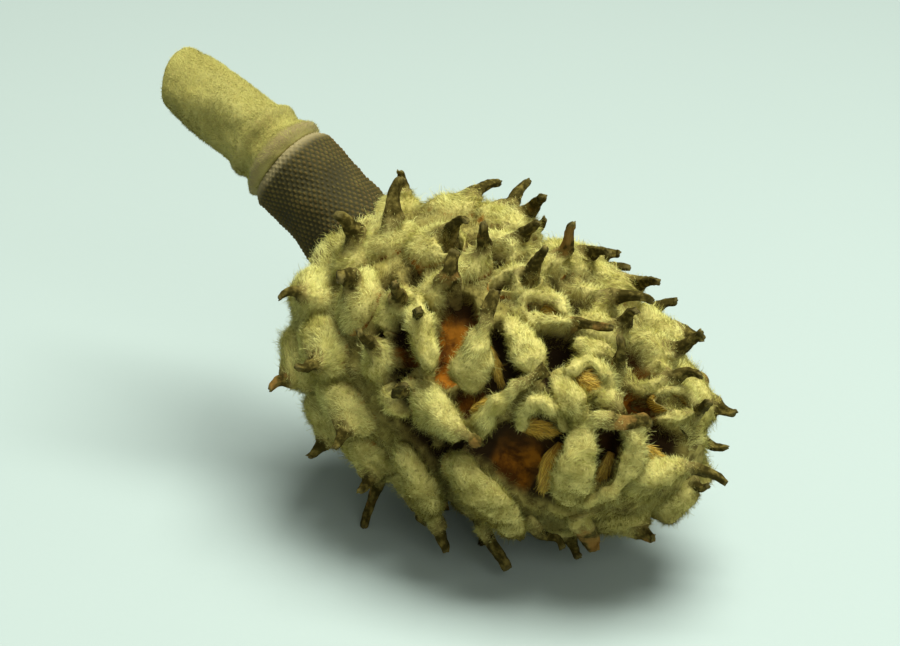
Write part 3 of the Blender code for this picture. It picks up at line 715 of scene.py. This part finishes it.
def carved(grid, rises, further=SHELL_GAP_DEPTH):
    """A shell pressed in where the cone has gaps, how deep each point lies in one, and how rusty it is."""
    left, rust, total = np.ones(grid.shape[:2]), np.zeros(grid.shape[:2]), np.full(grid.shape[:2], 1e-6)
    wander = 0.0005 * noise(grid, 0.0016, 81)
    skin = 1 - smooth(2.6, 3.2, rises)[:, None]
    for middle, normal, radius, rusty in GAPS:
        away = grid - middle
        height = (away * normal).sum(axis=2)
        beside = np.linalg.norm(away - height[..., None] * normal, axis=2) + wander
        near = (1 - smooth(0.80 * radius, 1.25 * radius, beside)) * skin
        near = np.where(np.abs(height) < 0.011, near, 0)
        left *= 1 - near
        rust += near * rusty
        total += near
    deep = 1 - left
    push = np.minimum(depth_under(grid) - GAP_DEPTH - further, 0) * deep
    return grid + outward(grid) * push[..., None], deep, rust / total


def closed_shell(spec):
    """A woolly mound that narrows into its beak: rings, their places on the skin's scale, and the keel."""
    point, normal, along, across = (spec[key] for key in ("point", "normal", "along", "across"))
    length, width, thin = spec["half_length"], spec["half_width"], WOOL_DEPTH
    top = point + along * length * 0.08
    side = point - normal * length * 0.14 + along * length * 0.04
    ovals = (
        (point - (normal + along * 0.15) * spec["depth"], length * 0.5, width * 0.5),
        (point - normal * length * 0.42, length - thin, width - thin),
        (side, length * 0.9 - thin, width * 0.89 - thin),
        (top, length * 0.72 - thin, width * 0.70 - thin),
        (top * 0.4 + spec["foot"] * 0.6, length * 0.42, width * 0.46),
    )
    keys = [oval(centre, along, across, long, wide, SHELL_SIDES) for centre, long, wide in ovals]
    keys += beak_keys(spec, (0.06, 0.3, 0.5, 0.75, 0.93, 1.0))
    rises = (0, 1, 1.5, 2, 2.5, 3, 3.6, 4, 4.5, 4.9, 5)
    grid, rises = spline(keys, rises, (2, 4, 4, 4, 3, 4, 4, 4, 3, 2))
    grid, keel = wrinkled(grid, rises, spec["index"])
    return grid, rises, keel


def lobe_rings(keys, sides):
    """Key rings of a lobe or lining through its rows, in the part's frame."""
    spots = [seen_point(row[:2], row[2] / 1000) for row in keys]
    centres = np.array([DIP @ spot[0] + SHIFT for spot in spots])
    normals = np.array([DIP @ spot[1] for spot in spots])
    headings = unit(np.gradient(centres, axis=0))
    sides_of = unit(np.cross(headings, normals))
    ups = np.cross(sides_of, headings)
    rings = []
    for k, row in enumerate(keys):
        thin = LOBE_WOOL * (1 - float(smooth(2.4, 3.2, row[5]))) if len(row) > 5 else 0.0
        high, wide = (max(size / 1000 - thin, 0.0003) for size in (row[4], row[3]))
        rings.append(oval(centres[k], ups[k], sides_of[k], high, wide, sides, 1.0))
    return rings


def lobe_shell(keys, index):
    """A closed woolly lobe or broad beak."""
    grid, rises = spline(lobe_rings(keys, LOBE_SIDES), [row[5] for row in keys], [4] * (len(keys) - 1))
    skin = 1 - smooth(2.6, 3.4, rises)[:, None]
    lumps = 0.0006 * noise(grid, 0.0032, 91) + 0.0005 * noise(grid, 0.0014, 92)
    return wrinkled(grid + grid_normals(grid) * (lumps * skin)[..., None], rises, index)[0], rises


def golden_part(keys):
    """A ribbed golden lining, and its rings for the fibres on it."""
    depths = np.linspace(0.15, 0.5, len(keys))
    grid, depths = spline(lobe_rings(keys, GOLDEN_SIDES), depths, [4] * (len(keys) - 1))
    turn = turns(GOLDEN_SIDES)
    ribs = 0.00010 * np.sin(turn * 7 + 3 * noise(grid, 0.002, 13))
    grid += grid_normals(grid) * (ribs + 0.00012 * noise(grid, 0.0007, 12))[..., None]
    return band(grid, depth=depths, turn=np.tile(turn, (len(grid), 1))), grid


def open_wall(spec):
    """The woolly wall of a gaping follicle, up over its lips to its mouth, and the lining below."""
    point, normal, along, across = (spec[key] for key in ("point", "normal", "along", "across"))
    gape, thin, index = spec["gape"], WOOL_DEPTH, spec["index"]
    spread = 0.9 + 0.25 * gape
    length, width = spec["half_length"] * 0.92, spec["half_width"] * 0.95 * spread
    turn = turns(WALL_SIDES)
    curl = 0.32 * np.abs(np.sin(turn)) + 0.25 * np.cos(turn)
    lift = np.outer(spec["half_width"] * curl, normal)
    mouth_length, mouth_width = length * (0.58 + 0.14 * gape), width * min(0.18 + 0.40 * gape, 0.66)
    root = point - (normal + along * 0.15) * spec["depth"]
    belly = point - normal * spec["half_length"] * 0.42
    uneven = 1 + 0.10 * np.sin(turn * 2 + index) + 0.06 * np.sin(turn * 5 + index * 1.7)

    def ring(centre, half_length, half_width, height, raised):
        shape = oval(centre, along, across, half_length, half_width, WALL_SIDES)
        shape = centre + (shape - centre) * uneven[:, None] if raised else shape
        return shape + lift * raised + normal * height

    keys = [
        ring(root, spec["half_length"] * 0.5, spec["half_width"] * 0.5, 0, 0),
        ring(belly, spec["half_length"] - thin, spec["half_width"] * spread - thin, 0, 0),
        ring(point, length * 1.02 - thin, width * 1.02 - thin, -0.0008, 0.8),
        ring(point, length - 0.0008, width - 0.0008, 0.0001, 1),
        ring(point, (length + mouth_length) / 2, (width + mouth_width) / 2, 0.0002, 1),
        ring(point, mouth_length, mouth_width, -0.0002, 1),
        ring(point, mouth_length * 0.97, mouth_width * 0.97, -0.0008, 0.9),
    ]
    grid, rises = spline(keys, (0, 1, 1.6, 2.0, 2.3, 2.6, 2.8), (3, 5, 4, 4, 3, 3))
    grid = wrinkled(grid, rises, index)[0]
    floor = point - normal * (CAVITY_DEPTH * spec["half_length"] / HALF_LENGTH)
    inner = [grid[-1]]
    for share, wide in ((0.3, 1.12), (0.65, 1.0), (0.92, 0.62), (1.0, 0.15)):
        centre = point * (1 - share) + floor * share
        long, wide = mouth_length * wide * 1.05, mouth_width * wide * 1.15
        inner.append(oval(centre, along, across, long, wide, WALL_SIDES))
    lining, depth = spline(inner, (0, 0.3, 0.65, 0.92, 1.0), (4, 4, 3, 2))
    stripes = np.sin(turn * WALL_SIDES / 3 + index)[None, :, None]
    moved = 0.00008 * stripes + 0.00015 * noise(lining, 0.0015, 9)[..., None]
    lining[1:] += (-grid_normals(lining) * moved)[1:]
    return grid, rises, lining, depth


# Hairs
def wool_areas(grid, density):
    """Area of each face of a skin, times the density there."""
    right = np.roll(grid, -1, axis=1)
    area = np.linalg.norm(np.cross(grid[1:] - grid[:-1], right[:-1] - grid[:-1]), axis=2)
    return area * density[:-1]


def hair_roots(grid, rises, density, count, draw):
    """Places drawn over a skin, more where it is dense: points, normals, upward directions, rises."""
    normals = grid_normals(grid)
    upward = unit(np.gradient(grid, axis=0))
    sides = grid.shape[1]
    weight = wool_areas(grid, density).ravel()
    picks = draw.choice(len(weight), size=count, p=weight / weight.sum())
    k, i = picks // sides, picks % sides
    s, t = draw.random(count)[:, None], draw.random(count)[:, None]
    after = (i + 1) % sides

    def blend(values):
        low = values[k, i] * (1 - t) + values[k, after] * t
        high = values[k + 1, i] * (1 - t) + values[k + 1, after] * t
        return low * (1 - s) + high * s

    rise = rises[k] * (1 - s[:, 0]) + rises[k + 1] * s[:, 0]
    return blend(grid), unit(blend(normals)), unit(blend(upward)), rise


def gap_nearness(points):
    """How near points are to the edge of a gap, from 0 to 1."""
    near = np.zeros(len(points))
    for middle, normal, radius, rusty in GAPS:
        away = points - middle
        height = away @ normal
        beside = np.linalg.norm(away - height[:, None] * normal, axis=1)
        close = 1 - smooth(radius, radius * 1.7, beside)
        near = np.maximum(near, np.where(np.abs(height) < 0.008, close, 0))
    return near


def wool_density(grid, rises, is_open=False):
    """Where wool grows: not on the bare lower walls nor on the beak."""
    shape = smooth(0.75, 1.15, rises)
    if is_open:
        shape = shape * (1 - 0.5 * smooth(2.4, 2.8, rises))
    else:
        shape = shape * (1 - 0.8 * smooth(2.4, 3.0, rises)) * (1 - smooth(2.9, 3.5, rises))
    return shape[:, None] * (0.75 + 0.35 * noise(grid, 0.004, 21))


def hair_flow(roots, normals, upward, draw, swirl, spread, lie):
    """Directions that lie along the wool in swirls, a little towards the follicle's base."""
    flow = noise_vector(roots, 0.0032, 31) * swirl + draw.normal(0, spread, roots.shape)
    flow = flow - normals * (flow * normals).sum(axis=1, keepdims=True)
    return flow - upward * lie


def tufted(roots, tips, share, draw):
    """Tips drawn together in tufts, and a tone from 0 to 1 for each tuft."""
    cells = np.floor(roots / TUFT_SIZE + noise_vector(roots, 0.0015, 41) * 0.6).astype(np.int64)
    keys, inverse = np.unique(cells, axis=0, return_inverse=True)
    inverse = inverse.reshape(-1)
    size = np.bincount(inverse).astype(float)
    middle = np.stack([np.bincount(inverse, weights=tips[:, k]) / size for k in range(3)], axis=1)[inverse]
    tone = lattice(keys, 5)[inverse] * 0.5 + 0.5
    return tips + (middle - tips) * share * draw.random((len(roots), 1)), tone


def sunk(roots, normals):
    """Painted shade for the wool: from 0 on the wool's outside to 1 deep between the follicles, and part of
    that on wool that faces down and lies low under the pod.
    """
    under = 0.60 * smooth(-0.1, 0.7, -normals[:, 2]) + 0.25 * smooth(0.030, 0.012, roots[:, 2])
    return np.maximum(smooth(0.0004, 0.0034, depth_under(roots)), under)


def hairs(roots, normals, upward, lengths, widths, draw, **look):
    """Straight hairs of one face each, or bent ones of three, shaded with the wool's own normal."""
    look = {**SHORT_LOOK, **look}
    stand, swirl, spread, lie, gather, scatter, shares, bent = (look[key] for key in SHORT_LOOK)
    count = len(roots)
    heading = unit(normals * stand + hair_flow(roots, normals, upward, draw, swirl, spread, lie))
    tips, tone = tufted(roots, roots + heading * lengths[:, None], gather, draw)
    chord = tips - roots
    bend = (normals * 0.18 + draw.normal(0, 0.14, (count, 3))) * lengths[:, None] if bent else None
    side = unit(np.cross(chord, normals + draw.normal(0, 0.5, (count, 3))))
    half = side * widths[:, None] / 2
    facing = (np.cross(2 * half, chord) * normals).sum(axis=1, keepdims=True)
    half = np.where(facing < 0, -half, half)
    corners, reach = [roots - half, roots + half], [0.0, 0.0]
    if bent:
        middle = roots + chord * 0.5 + bend
        corners += [middle - half * 0.8, middle + half * 0.8]
        reach = [0.2, 0.2, 0.6, 0.6]
    size = len(corners) + 1
    points = np.stack([*corners, tips], axis=1).reshape(-1, 3)
    points[:, 2] = np.maximum(points[:, 2], HAIR_FLOOR)
    first = (np.arange(count) * size)[:, None]
    quads = first + np.array([0, 1, 3, 2]) if bent else np.zeros((0, 4), int)
    shade = unit(normals + draw.normal(0, scatter, (count, 3)))
    tint = shares[0] * draw.random(count) + shares[1] * tone
    values = {"tint": np.repeat(tint, size), "reach": np.tile([*reach, 1.0], count)}
    # painted shade for each hair, from how deep, how low and how far downward its root lies
    values["sunk"] = np.repeat(sunk(roots, normals), size)
    part = {"points": points, "quads": quads, "tris": first + np.arange(size - 3, size), "values": values}
    return {**part, "normals": np.repeat(shade, size, axis=0)}


# Materials
class Nodes:
    """Short calls that add and join shader nodes."""

    def __init__(self, name):
        self.material = bpy.data.materials.new(name)
        self.material.use_nodes = True
        self.tree = self.material.node_tree
        self.shader = self.tree.nodes["Principled BSDF"]
        self.place = self.new("ShaderNodeTexCoord").outputs["Object"]

    def new(self, kind, **settings):
        made = self.tree.nodes.new(kind)
        for key, value in settings.items():
            setattr(made, key, value)
        return made

    def feed(self, node, **given):
        """Joins or sets sockets by name, with _ for a space and i before a number."""
        for name, value in given.items():
            name = name.replace("_", " ")
            socket = node.inputs[int(name[1:]) if name[1:].isdigit() else name]
            if isinstance(value, bpy.types.NodeSocket):
                self.tree.links.new(value, socket)
            else:
                socket.default_value = (*value, 1.0) if isinstance(value, tuple) else value
        return node

    def value(self, name):
        return self.new("ShaderNodeAttribute", attribute_name=name).outputs["Fac"]

    def noise(self, scale, detail=4.0, rough=0.55):
        made = self.new("ShaderNodeTexNoise")
        return self.feed(made, Vector=self.place, Scale=scale, Detail=detail, Roughness=rough).outputs["Fac"]

    def math(self, operation, a, b=0.0):
        return self.feed(self.new("ShaderNodeMath", operation=operation), i0=a, i1=b).outputs[0]

    def span(self, value, low, high, to_low=0.0, to_high=1.0):
        made = self.new("ShaderNodeMapRange", interpolation_type="SMOOTHSTEP")
        self.feed(made, Value=value, From_Min=low, From_Max=high, To_Min=to_low, To_Max=to_high)
        return made.outputs["Result"]

    def mix(self, share, a, b):
        return self.feed(self.new("ShaderNodeMix", data_type="RGBA"), Factor=share, i6=a, i7=b).outputs[2]

    def patchy(self, a, b, scale, low, high, detail=4.0, rough=0.55):
        """Colour b in patches of noise on colour a."""
        return self.mix(self.span(self.noise(scale, detail, rough), low, high), a, b)

    def look(self, colour, roughness, specular=0.5):
        self.feed(self.shader, Base_Color=colour, Roughness=roughness, Specular_IOR_Level=specular)

    def bumpy(self, height, strength, distance):
        """Gives the shader its bump, and returns the material."""
        made = self.feed(self.new("ShaderNodeBump"), Height=height, Strength=strength, Distance=distance)
        self.feed(self.shader, Normal=made.outputs["Normal"])
        return self.material


WOOL_PALE = (0.66, 0.57, 0.19)
WOOL_MID = (0.40, 0.33, 0.09)
WOOL_DARK = (0.12, 0.09, 0.022)
RUST = (0.37, 0.135, 0.010)
RUST_DARK = (0.085, 0.028, 0.004)
# painted shade for the gaps that are not rusty
GAP_SHADE = (0.035, 0.020, 0.008)
BEAK_DARK = (0.040, 0.030, 0.005)
BEAK_TAN = (0.24, 0.135, 0.032)


def skin_material():
    n = Nodes("follicle_skin")
    rise = n.value("rise")
    height = n.math("ADD", rise, n.span(n.noise(700), 0.3, 0.7, -0.25, 0.25))
    wool = n.patchy(WOOL_MID, WOOL_PALE, 420, 0.35, 0.7)
    wool = n.patchy(wool, WOOL_DARK, 1600, 0.52, 0.80, 6)
    rust = n.patchy(RUST_DARK, RUST, 260, 0.35, 0.65)
    rust = n.patchy(rust, (0.42, 0.22, 0.06), 1100, 0.5, 0.8, 5)
    beak = n.patchy(BEAK_DARK, (0.19, 0.145, 0.034), 900, 0.43, 0.74, 5)
    beak = n.mix(n.span(n.math("MULTIPLY", n.noise(380), n.value("tone")), 0.40, 0.56), beak, BEAK_TAN)
    beak = n.mix(n.span(rise, 4.75, 5.0, 0.0, 0.5), beak, (0.15, 0.12, 0.04))
    colour = n.mix(n.span(height, 0.75, 1.25), rust, wool)
    # in the gaps: rust where rusty, elsewhere painted shade, laid over where the skin sinks into one
    gap = n.mix(n.value("rust"), GAP_SHADE, rust)
    colour = n.mix(n.span(n.value("deep"), 0.15, 0.5), colour, gap)
    colour = n.mix(n.math("MULTIPLY", n.value("keel"), 0.55), colour, (0.14, 0.115, 0.06))
    colour = n.mix(n.span(height, 2.3, 2.8), colour, (0.24, 0.19, 0.055))
    colour = n.mix(n.span(height, 2.7, 3.3), colour, beak)
    n.look(colour, n.span(height, 0.8, 1.2, 0.6, 0.9), 0.06)
    return n.bumpy(n.math("ADD", n.noise(2600, 6, 0.7), n.noise(700, 3)), 0.7, 0.0004)


def lining_material():
    n = Nodes("seed_lining")
    depth = n.value("depth")
    wander = n.span(n.noise(500), 0, 1, -0.06, 0.06)
    stripes = n.math("SINE", n.math("MULTIPLY", n.math("ADD", n.value("turn"), wander), 46.0))
    gold = n.mix(n.span(stripes, -0.6, 0.9), (0.17, 0.09, 0.008), (0.50, 0.32, 0.040))
    gold = n.patchy(gold, (0.33, 0.15, 0.014), 380, 0.40, 0.66)
    colour = n.mix(n.span(depth, 0.0, 0.12), (0.60, 0.48, 0.16), gold)
    # painted shade: near black towards the cavity's floor
    n.look(n.mix(n.span(depth, 0.55, 1.0), colour, (0.06, 0.032, 0.012)), 0.55, 0.2)
    return n.bumpy(n.math("ADD", stripes, n.noise(1800, 5)), 0.5, 0.00015)


def core_material():
    n = Nodes("core_wood")
    # in the gaps: rust where rusty, elsewhere painted shade
    gap = n.mix(n.value("rust"), GAP_SHADE, n.patchy(RUST_DARK, RUST, 250, 0.38, 0.62, 5, 0.62))
    felt = n.patchy(WOOL_DARK, WOOL_MID, 500, 0.35, 0.7, 5)
    n.look(n.mix(n.span(n.value("deep"), 0.1, 0.5), felt, gap), 0.85, 0.05)
    return n.bumpy(n.noise(1200, 6), 0.6, 0.0004)


def wool_material(name, pale, mid, dark):
    n = Nodes(name)
    tint, reach = n.value("tint"), n.value("reach")
    place = n.math("MULTIPLY", n.span(n.noise(260, 4), 0.36, 0.62), 0.65)
    colour = n.mix(n.math("ADD", n.math("MULTIPLY", tint, 0.35), place), mid, pale)
    colour = n.mix(n.span(reach, 0.0, 0.8, 0.45, 0.0), colour, dark)
    colour = n.mix(n.span(tint, 0.30, 0.10, 0.0, 0.5), colour, dark)
    # painted shade: wool deep between the follicles, facing down or low under the pod turns dark brown
    colour = n.mix(n.math("MULTIPLY", n.value("sunk"), 0.8), colour, (0.17, 0.115, 0.020))
    n.look(colour, 0.8, 0.1)
    through = n.feed(n.new("ShaderNodeBsdfTranslucent"), Color=colour).outputs["BSDF"]
    both = n.feed(n.new("ShaderNodeMixShader"), i0=0.25, i1=n.shader.outputs["BSDF"], i2=through)
    n.feed(n.tree.nodes["Material Output"], Surface=both.outputs["Shader"])
    return n.material


def collar_material():
    n = Nodes("scar_bark_net")
    scar = n.value("scar")
    ground = n.patchy((0.051, 0.041, 0.009), (0.083, 0.067, 0.015), 320, 0.35, 0.7, 5)
    spot = n.patchy((0.098, 0.058, 0.016), (0.130, 0.081, 0.023), 500, 0.4, 0.65, 3)
    colour = n.mix(n.span(scar, 0.45, 0.9), ground, spot)
    colour = n.mix(n.span(scar, 0.15, 0.0), colour, (0.036, 0.030, 0.010))
    n.look(n.mix(n.value("pale"), colour, (0.36, 0.29, 0.14)), 0.8, 0.15)
    return n.bumpy(n.noise(2400, 6), 0.6, 0.0003)


def stalk_material():
    n = Nodes("stalk_felt_skin")
    colour = n.patchy((0.245, 0.207, 0.041), (0.335, 0.300, 0.081), 150, 0.35, 0.68, 3)
    colour = n.patchy(colour, (0.34, 0.26, 0.06), 2200, 0.45, 0.8, 4, 0.7)
    colour = n.mix(n.value("ring"), colour, (0.17, 0.115, 0.05))
    wood = n.mix(n.span(n.value("bore"), 0.25, 0.32), (0.50, 0.40, 0.22), (0.62, 0.52, 0.31))
    wood = n.mix(n.span(n.value("bore"), 0.80, 0.9), wood, (0.30, 0.21, 0.09))
    n.look(n.mix(n.value("cut"), colour, wood), 0.88)
    return n.bumpy(n.noise(3000, 5, 0.7), 0.6, 0.0002)


# The pod's pieces
def core_grid():
    """The felted wool between the follicles, with gaps down to the wood, and their depth and rust."""
    turn = turns(CORE_SIDES)
    rings = [(-BASE_DOME * (1 - t * t), envelope(0.0) * t) for t in np.linspace(0.06, 0.96, DOME_ROWS)]
    rings += [(share * CONE_LENGTH, envelope(share)) for share in np.linspace(0.0, 0.99, CORE_ROWS)]
    circle = (np.cos(turn), np.sin(turn))
    grid = [np.stack([np.full(CORE_SIDES, x), circle[0] * rim, circle[1] * rim], axis=1) for x, rim in rings]
    grid = np.array(grid) * np.array([1, BLANKET_SHARE, BLANKET_SHARE])
    grid, deep, rust = carved(laid(grid), np.ones(len(grid)), 0.0)
    lumps = 0.0006 * noise(grid, 0.0035, 51) * (1 - deep) + 0.0003 * noise(grid, 0.0010, 52)
    return grid + grid_normals(grid) * lumps[..., None], deep, rust


def stem_ring(distance, turn, radius):
    """A ring of this radius around the stem's line there, and the line's heading."""
    centre, heading, up, side = (np.array(v) for v in stem_frame(distance))
    out = np.outer(np.cos(turn), side) + np.outer(np.sin(turn), up)
    return centre + out * radius[:, None], heading


def sense(grid, row):
    """1 where the normals of a tube's row point out of it, and -1 where they point in."""
    return -1 if ((grid[row] - grid[row].mean(axis=0)) * grid_normals(grid)[row]).sum() < 0 else 1


def collar_part():
    """The collar's surface, with a fine net of scars pressed into it."""
    sides, steps = NET_COLUMNS * 4, NET_ROWS * 4
    turn = turns(sides)
    grid, scars, pales = [], [], []
    for step in range(steps + 1):
        share = step / steps
        net = np.cos(NET_COLUMNS * turn) * math.cos(math.pi * NET_ROWS * share)
        scars.append(np.maximum(net, 0) ** 0.7)
        radius = collar_radius(share) + 0.00030 * (scars[-1] - 0.5)
        radius = radius - 0.0008 * float(smooth(0.93, 1.0, share))
        grid.append(stem_ring((COLLAR_LENGTH + COLLAR_SINK) * share - COLLAR_SINK, turn, radius)[0])
        pales.append(np.full(sides, 0.7 * float(smooth(0.90, 1.0, share))))
    grid = laid(np.array(grid))
    moved = 0.00025 * noise(grid, 0.003, 61) + 0.00008 * noise(grid, 0.0005, 62)
    return band(grid + sense(grid, 10) * grid_normals(grid) * moved[..., None], scar=scars, pale=pales)


def stalk_part():
    """The stalk with its ring scars and slanting cut, and the rings of its skin."""
    turn = turns(STALK_SIDES)
    grid, rings = [], []
    for k in range(STALK_ROWS):
        share = k / (STALK_ROWS - 1)
        first = math.exp(-(((share - 0.06) / 0.06) ** 2))
        second = 0.55 * math.exp(-(((share - 0.26) / 0.05) ** 2))
        radius = STALK_RADIUS * (1.04 - 0.08 * share) + NODE_SWELL * (first + second)
        bumps = 1 + 0.03 * np.sin(3 * turn + 5 * share) + 0.02 * np.sin(5 * turn - 9 * share)
        ring, heading = stem_ring(COLLAR_LENGTH + PIECE_GAP + STALK_LENGTH * share, turn, radius * bumps)
        grid.append(ring + np.outer(CUT_SLANT * radius * np.sin(turn) * share**6, heading))
        rings.append(np.full(STALK_SIDES, max(first - 0.25, 0) * 0.9 + 0.25 * second))
    end, middle = grid[-1], grid[-1].mean(axis=0)
    bores = [1.0] * STALK_ROWS
    for bore in (0.97, 0.9, 0.8, 0.6, 0.4, 0.28, 0.15, 0.03):
        grid.append(middle + (end - middle) * bore)
        rings.append(np.zeros(STALK_SIDES))
        bores.append(bore)
    grid, bores = laid(np.array(grid)), np.array(bores)
    skin = (np.arange(len(grid)) < STALK_ROWS)[:, None]
    moved = 0.0003 * noise(grid, 0.004, 71) + 0.00012 * noise(grid, 0.001, 72)
    grid += sense(grid, 40) * grid_normals(grid) * (moved * skin)[..., None]
    part = band(grid, ring=rings, cut=bores < 0.95, bore=bores)
    part["values"]["bore"][-1] = 0
    return part, grid[:STALK_ROWS]


def gaping_parts(spec):
    """Wall, lining and beak of a gaping follicle, and what of them is woolly."""
    index = spec["index"]
    grid, rises, lining, depth = open_wall(spec)
    grid, deep, rust = carved(grid, rises)
    wall = skin_part(grid, rises, index, (), deep=deep, rust=rust)
    woolly = [(grid, rises, wool_density(grid, rises, True) * (1 - deep), 0.85)]
    inside = band(lining, (-1,), depth=depth, turn=np.tile(turns(WALL_SIDES), (len(lining), 1)))
    keys = beak_keys(spec, (-0.2, 0.1, 0.3, 0.5, 0.75, 0.93, 1.0))
    beak, rises = spline(keys, (2.6, 3.0, 3.4, 3.8, 4.4, 4.9, 5), (4, 3, 3, 4, 3, 2))
    beak = wrinkled(beak, rises, index)[0]
    woolly.append((beak, rises, wool_density(beak, rises) * smooth(2.5, 2.7, rises)[:, None], 0.85))
    grid, deep, rust = carved(beak, rises)
    return wall, inside, skin_part(grid, rises, index, deep=deep, rust=rust), woolly


def build_pod():
    skins, walls, beaks, linings, woolly = [], [], [], [], []
    for spec in follicle_specs():
        index = spec["index"]
        if index in REPLACED:
            continue
        if spec["gape"]:
            wall, inside, beak, more = gaping_parts(spec)
            walls.append(wall)
            linings.append(inside)
            beaks.append(beak)
            woolly += more
        else:
            grid, rises, keel = closed_shell(spec)
            grid, deep, rust = carved(grid, rises)
            skins.append(skin_part(grid, rises, index, keel=keel, deep=deep, rust=rust))
            woolly.append((grid, rises, wool_density(grid, rises) * (1 - 0.5 * keel) * (1 - deep), 1.0))
    for index, keys in enumerate(LOBES):
        grid, rises = lobe_shell(keys, index + 0.5)
        skins.append(skin_part(grid, rises, index + 0.5))
        woolly.append((grid, rises, wool_density(grid, rises), 1.1))
    golden = [golden_part(keys) for keys in GOLDEN]
    linings += [part for part, grid in golden]
    grow_fibres([grid for part, grid in golden])
    skin = skin_material()
    piece("follicles", skins, skin, "cone")
    piece("gaping_follicles", walls, skin, "cone")
    piece("beaks", beaks, skin, "cone")
    piece("seed_cavities", linings, lining_material(), "cone")
    grid, deep, rust = core_grid()
    piece("core", [band(grid, deep=deep, rust=rust)], core_material(), "cone")
    woolly.append((grid, np.ones(len(grid)), np.maximum(0.8 - 1.6 * deep, 0), 1.0))
    grow_wool(woolly)


def grow_wool(woolly):
    """Short fuzz over all that is woolly, and longer hairs that stand out of it."""
    draw = np.random.default_rng(7)
    areas = [float(wool_areas(grid, np.maximum(density, 0)).sum()) for grid, rises, density, trim in woolly]
    wool = wool_material("wool_hairs", (0.96, 0.92, 0.34), (0.50, 0.455, 0.090), (0.20, 0.15, 0.023))
    number = 0
    for total, length, width, look, faces in (
        (FUZZ_HAIRS, FUZZ_LENGTH, FUZZ_WIDTH, {}, 1),
        (LONG_HAIRS, LONG_LENGTH, LONG_WIDTH, LONG_LOOK, 3),
    ):
        total = total
        gathered = []
        for (grid, rises, density, trim), area in zip(woolly, areas):
            count = int(total * area / sum(areas))
            if count < 3:
                continue
            roots, normals, upward, rise = hair_roots(grid, rises, np.maximum(density, 0), count, draw)
            lengths = trim * length * draw.uniform(0.6, 1.3, count) * (1 - 0.5 * smooth(2.1, 3.2, rise))
            lengths *= 1 - 0.3 * gap_nearness(roots)
            gathered.append((roots, normals, upward, lengths))
        roots, normals, upward, lengths = (np.concatenate([rows[k] for rows in gathered]) for k in range(4))
        widths = width * draw.uniform(0.7, 1.3, len(roots)) * 1.0
        order = np.argsort(roots[:, 0])
        for some in np.array_split(order, math.ceil(len(order) * faces / FACES_A_PIECE)):
            number += 1
            part = hairs(roots[some], normals[some], upward[some], lengths[some], widths[some], draw, **look)
            piece(f"wool_{number}", [part], wool, "cone")


def grow_fibres(grids):
    """Golden fibres that lie along the linings."""
    draw = np.random.default_rng(27)
    gathered = []
    for grid in grids:
        count = FIBRES_A_LINING
        gathered.append(hair_roots(grid, np.zeros(len(grid)), np.ones(grid.shape[:2]), count, draw)[:3])
    roots, normals, upward = (np.concatenate([rows[k] for rows in gathered]) for k in range(3))
    lengths = FIBRE_LENGTH * draw.uniform(0.5, 1.3, len(roots))
    widths = FIBRE_WIDTH * draw.uniform(0.7, 1.4, len(roots))
    part = hairs(roots, normals, upward, lengths, widths, draw, stand=0.3, swirl=0.4, lie=-1.4)
    # a weaker painted shade on the golden fibres
    part["values"]["sunk"] = part["values"]["sunk"] * 0.3
    gold = wool_material("golden_fibres", (0.88, 0.64, 0.13), (0.68, 0.42, 0.05), (0.24, 0.12, 0.012))
    piece("golden_fibres", [part], gold, "cone")


def build_stem():
    draw = np.random.default_rng(17)
    piece("collar_bark", [collar_part()], collar_material(), "scar_collar")
    part, skin = stalk_part()
    piece("stalk_skin", [part], stalk_material(), "stalk")
    density = np.ones(skin.shape[:2])
    density[:12] = 0.3
    count = DOWN_HAIRS
    roots, normals, upward, rise = hair_roots(skin, np.zeros(len(skin)), density, count, draw)
    lengths = DOWN_LENGTH * draw.uniform(0.5, 1.3, count)
    widths = np.full(count, DOWN_WIDTH)
    down = hairs(roots, normals * sense(skin, 40), upward, lengths, widths, draw, lie=-0.5)
    felt = wool_material("stalk_down", (0.57, 0.53, 0.158), (0.47, 0.43, 0.108), (0.32, 0.275, 0.068))
    piece("stalk_down", [down], felt, "stalk")


def build_stage():
    """Pale floor, soft studio light, and the camera where the photograph's stood, turned to the pod."""
    floor = bpy.data.meshes.new("floor")
    corners = [(x * FLOOR_HALF, y * FLOOR_HALF, 0) for x, y in ((-1, -1), (1, -1), (1, 1), (-1, 1))]
    floor.from_pydata(corners, [], [(0, 1, 2, 3)])
    ground = linked("floor", floor)
    n = Nodes("pale_sheet")
    n.look(n.mix(n.noise(6), (0.365, 0.430, 0.400), (0.380, 0.445, 0.414)), 0.8)
    floor.materials.append(n.bumpy(n.noise(900, 4), 0.1, 0.0002))
    world = bpy.data.worlds.new("studio")
    bpy.context.scene.world = world
    world.use_nodes = True
    background = world.node_tree.nodes["Background"]
    background.inputs["Color"].default_value = (0.90, 1.0, 0.93, 1)
    background.inputs["Strength"].default_value = 0.20
    for name, place, size, power in LAMPS:
        lamp = bpy.data.lights.new(name, "AREA")
        lamp.size = size
        lamp.energy = power
        lamp.color = (0.96, 1.0, 0.95)
        holder = linked(name, lamp)
        holder.location = place
        holder.rotation_euler = (-Vector(place)).to_track_quat("-Z", "Y").to_euler()
    camera = bpy.data.cameras.new("camera")
    camera.sensor_width = 36
    camera.lens = 36 * PHOTO_FOCAL * ZOOM / RENDER_WIDTH
    camera.clip_start = 0.01
    holder = linked("camera", camera)
    ahead, wanted = (DIP @ photo_sight(pixel)[1] for pixel in (PHOTO_MIDDLE, AIM_PIXEL))
    holder.location = DIP @ photo_sight(CONE_PIXEL)[0] + SHIFT
    holder.rotation_euler = (ahead.rotation_difference(wanted) @ ahead.to_track_quat("-Z", "Y")).to_euler()
    bpy.context.scene.camera = holder
    bpy.context.scene.view_settings.view_transform = "Standard"


build_pod()
build_stem()
build_stage()
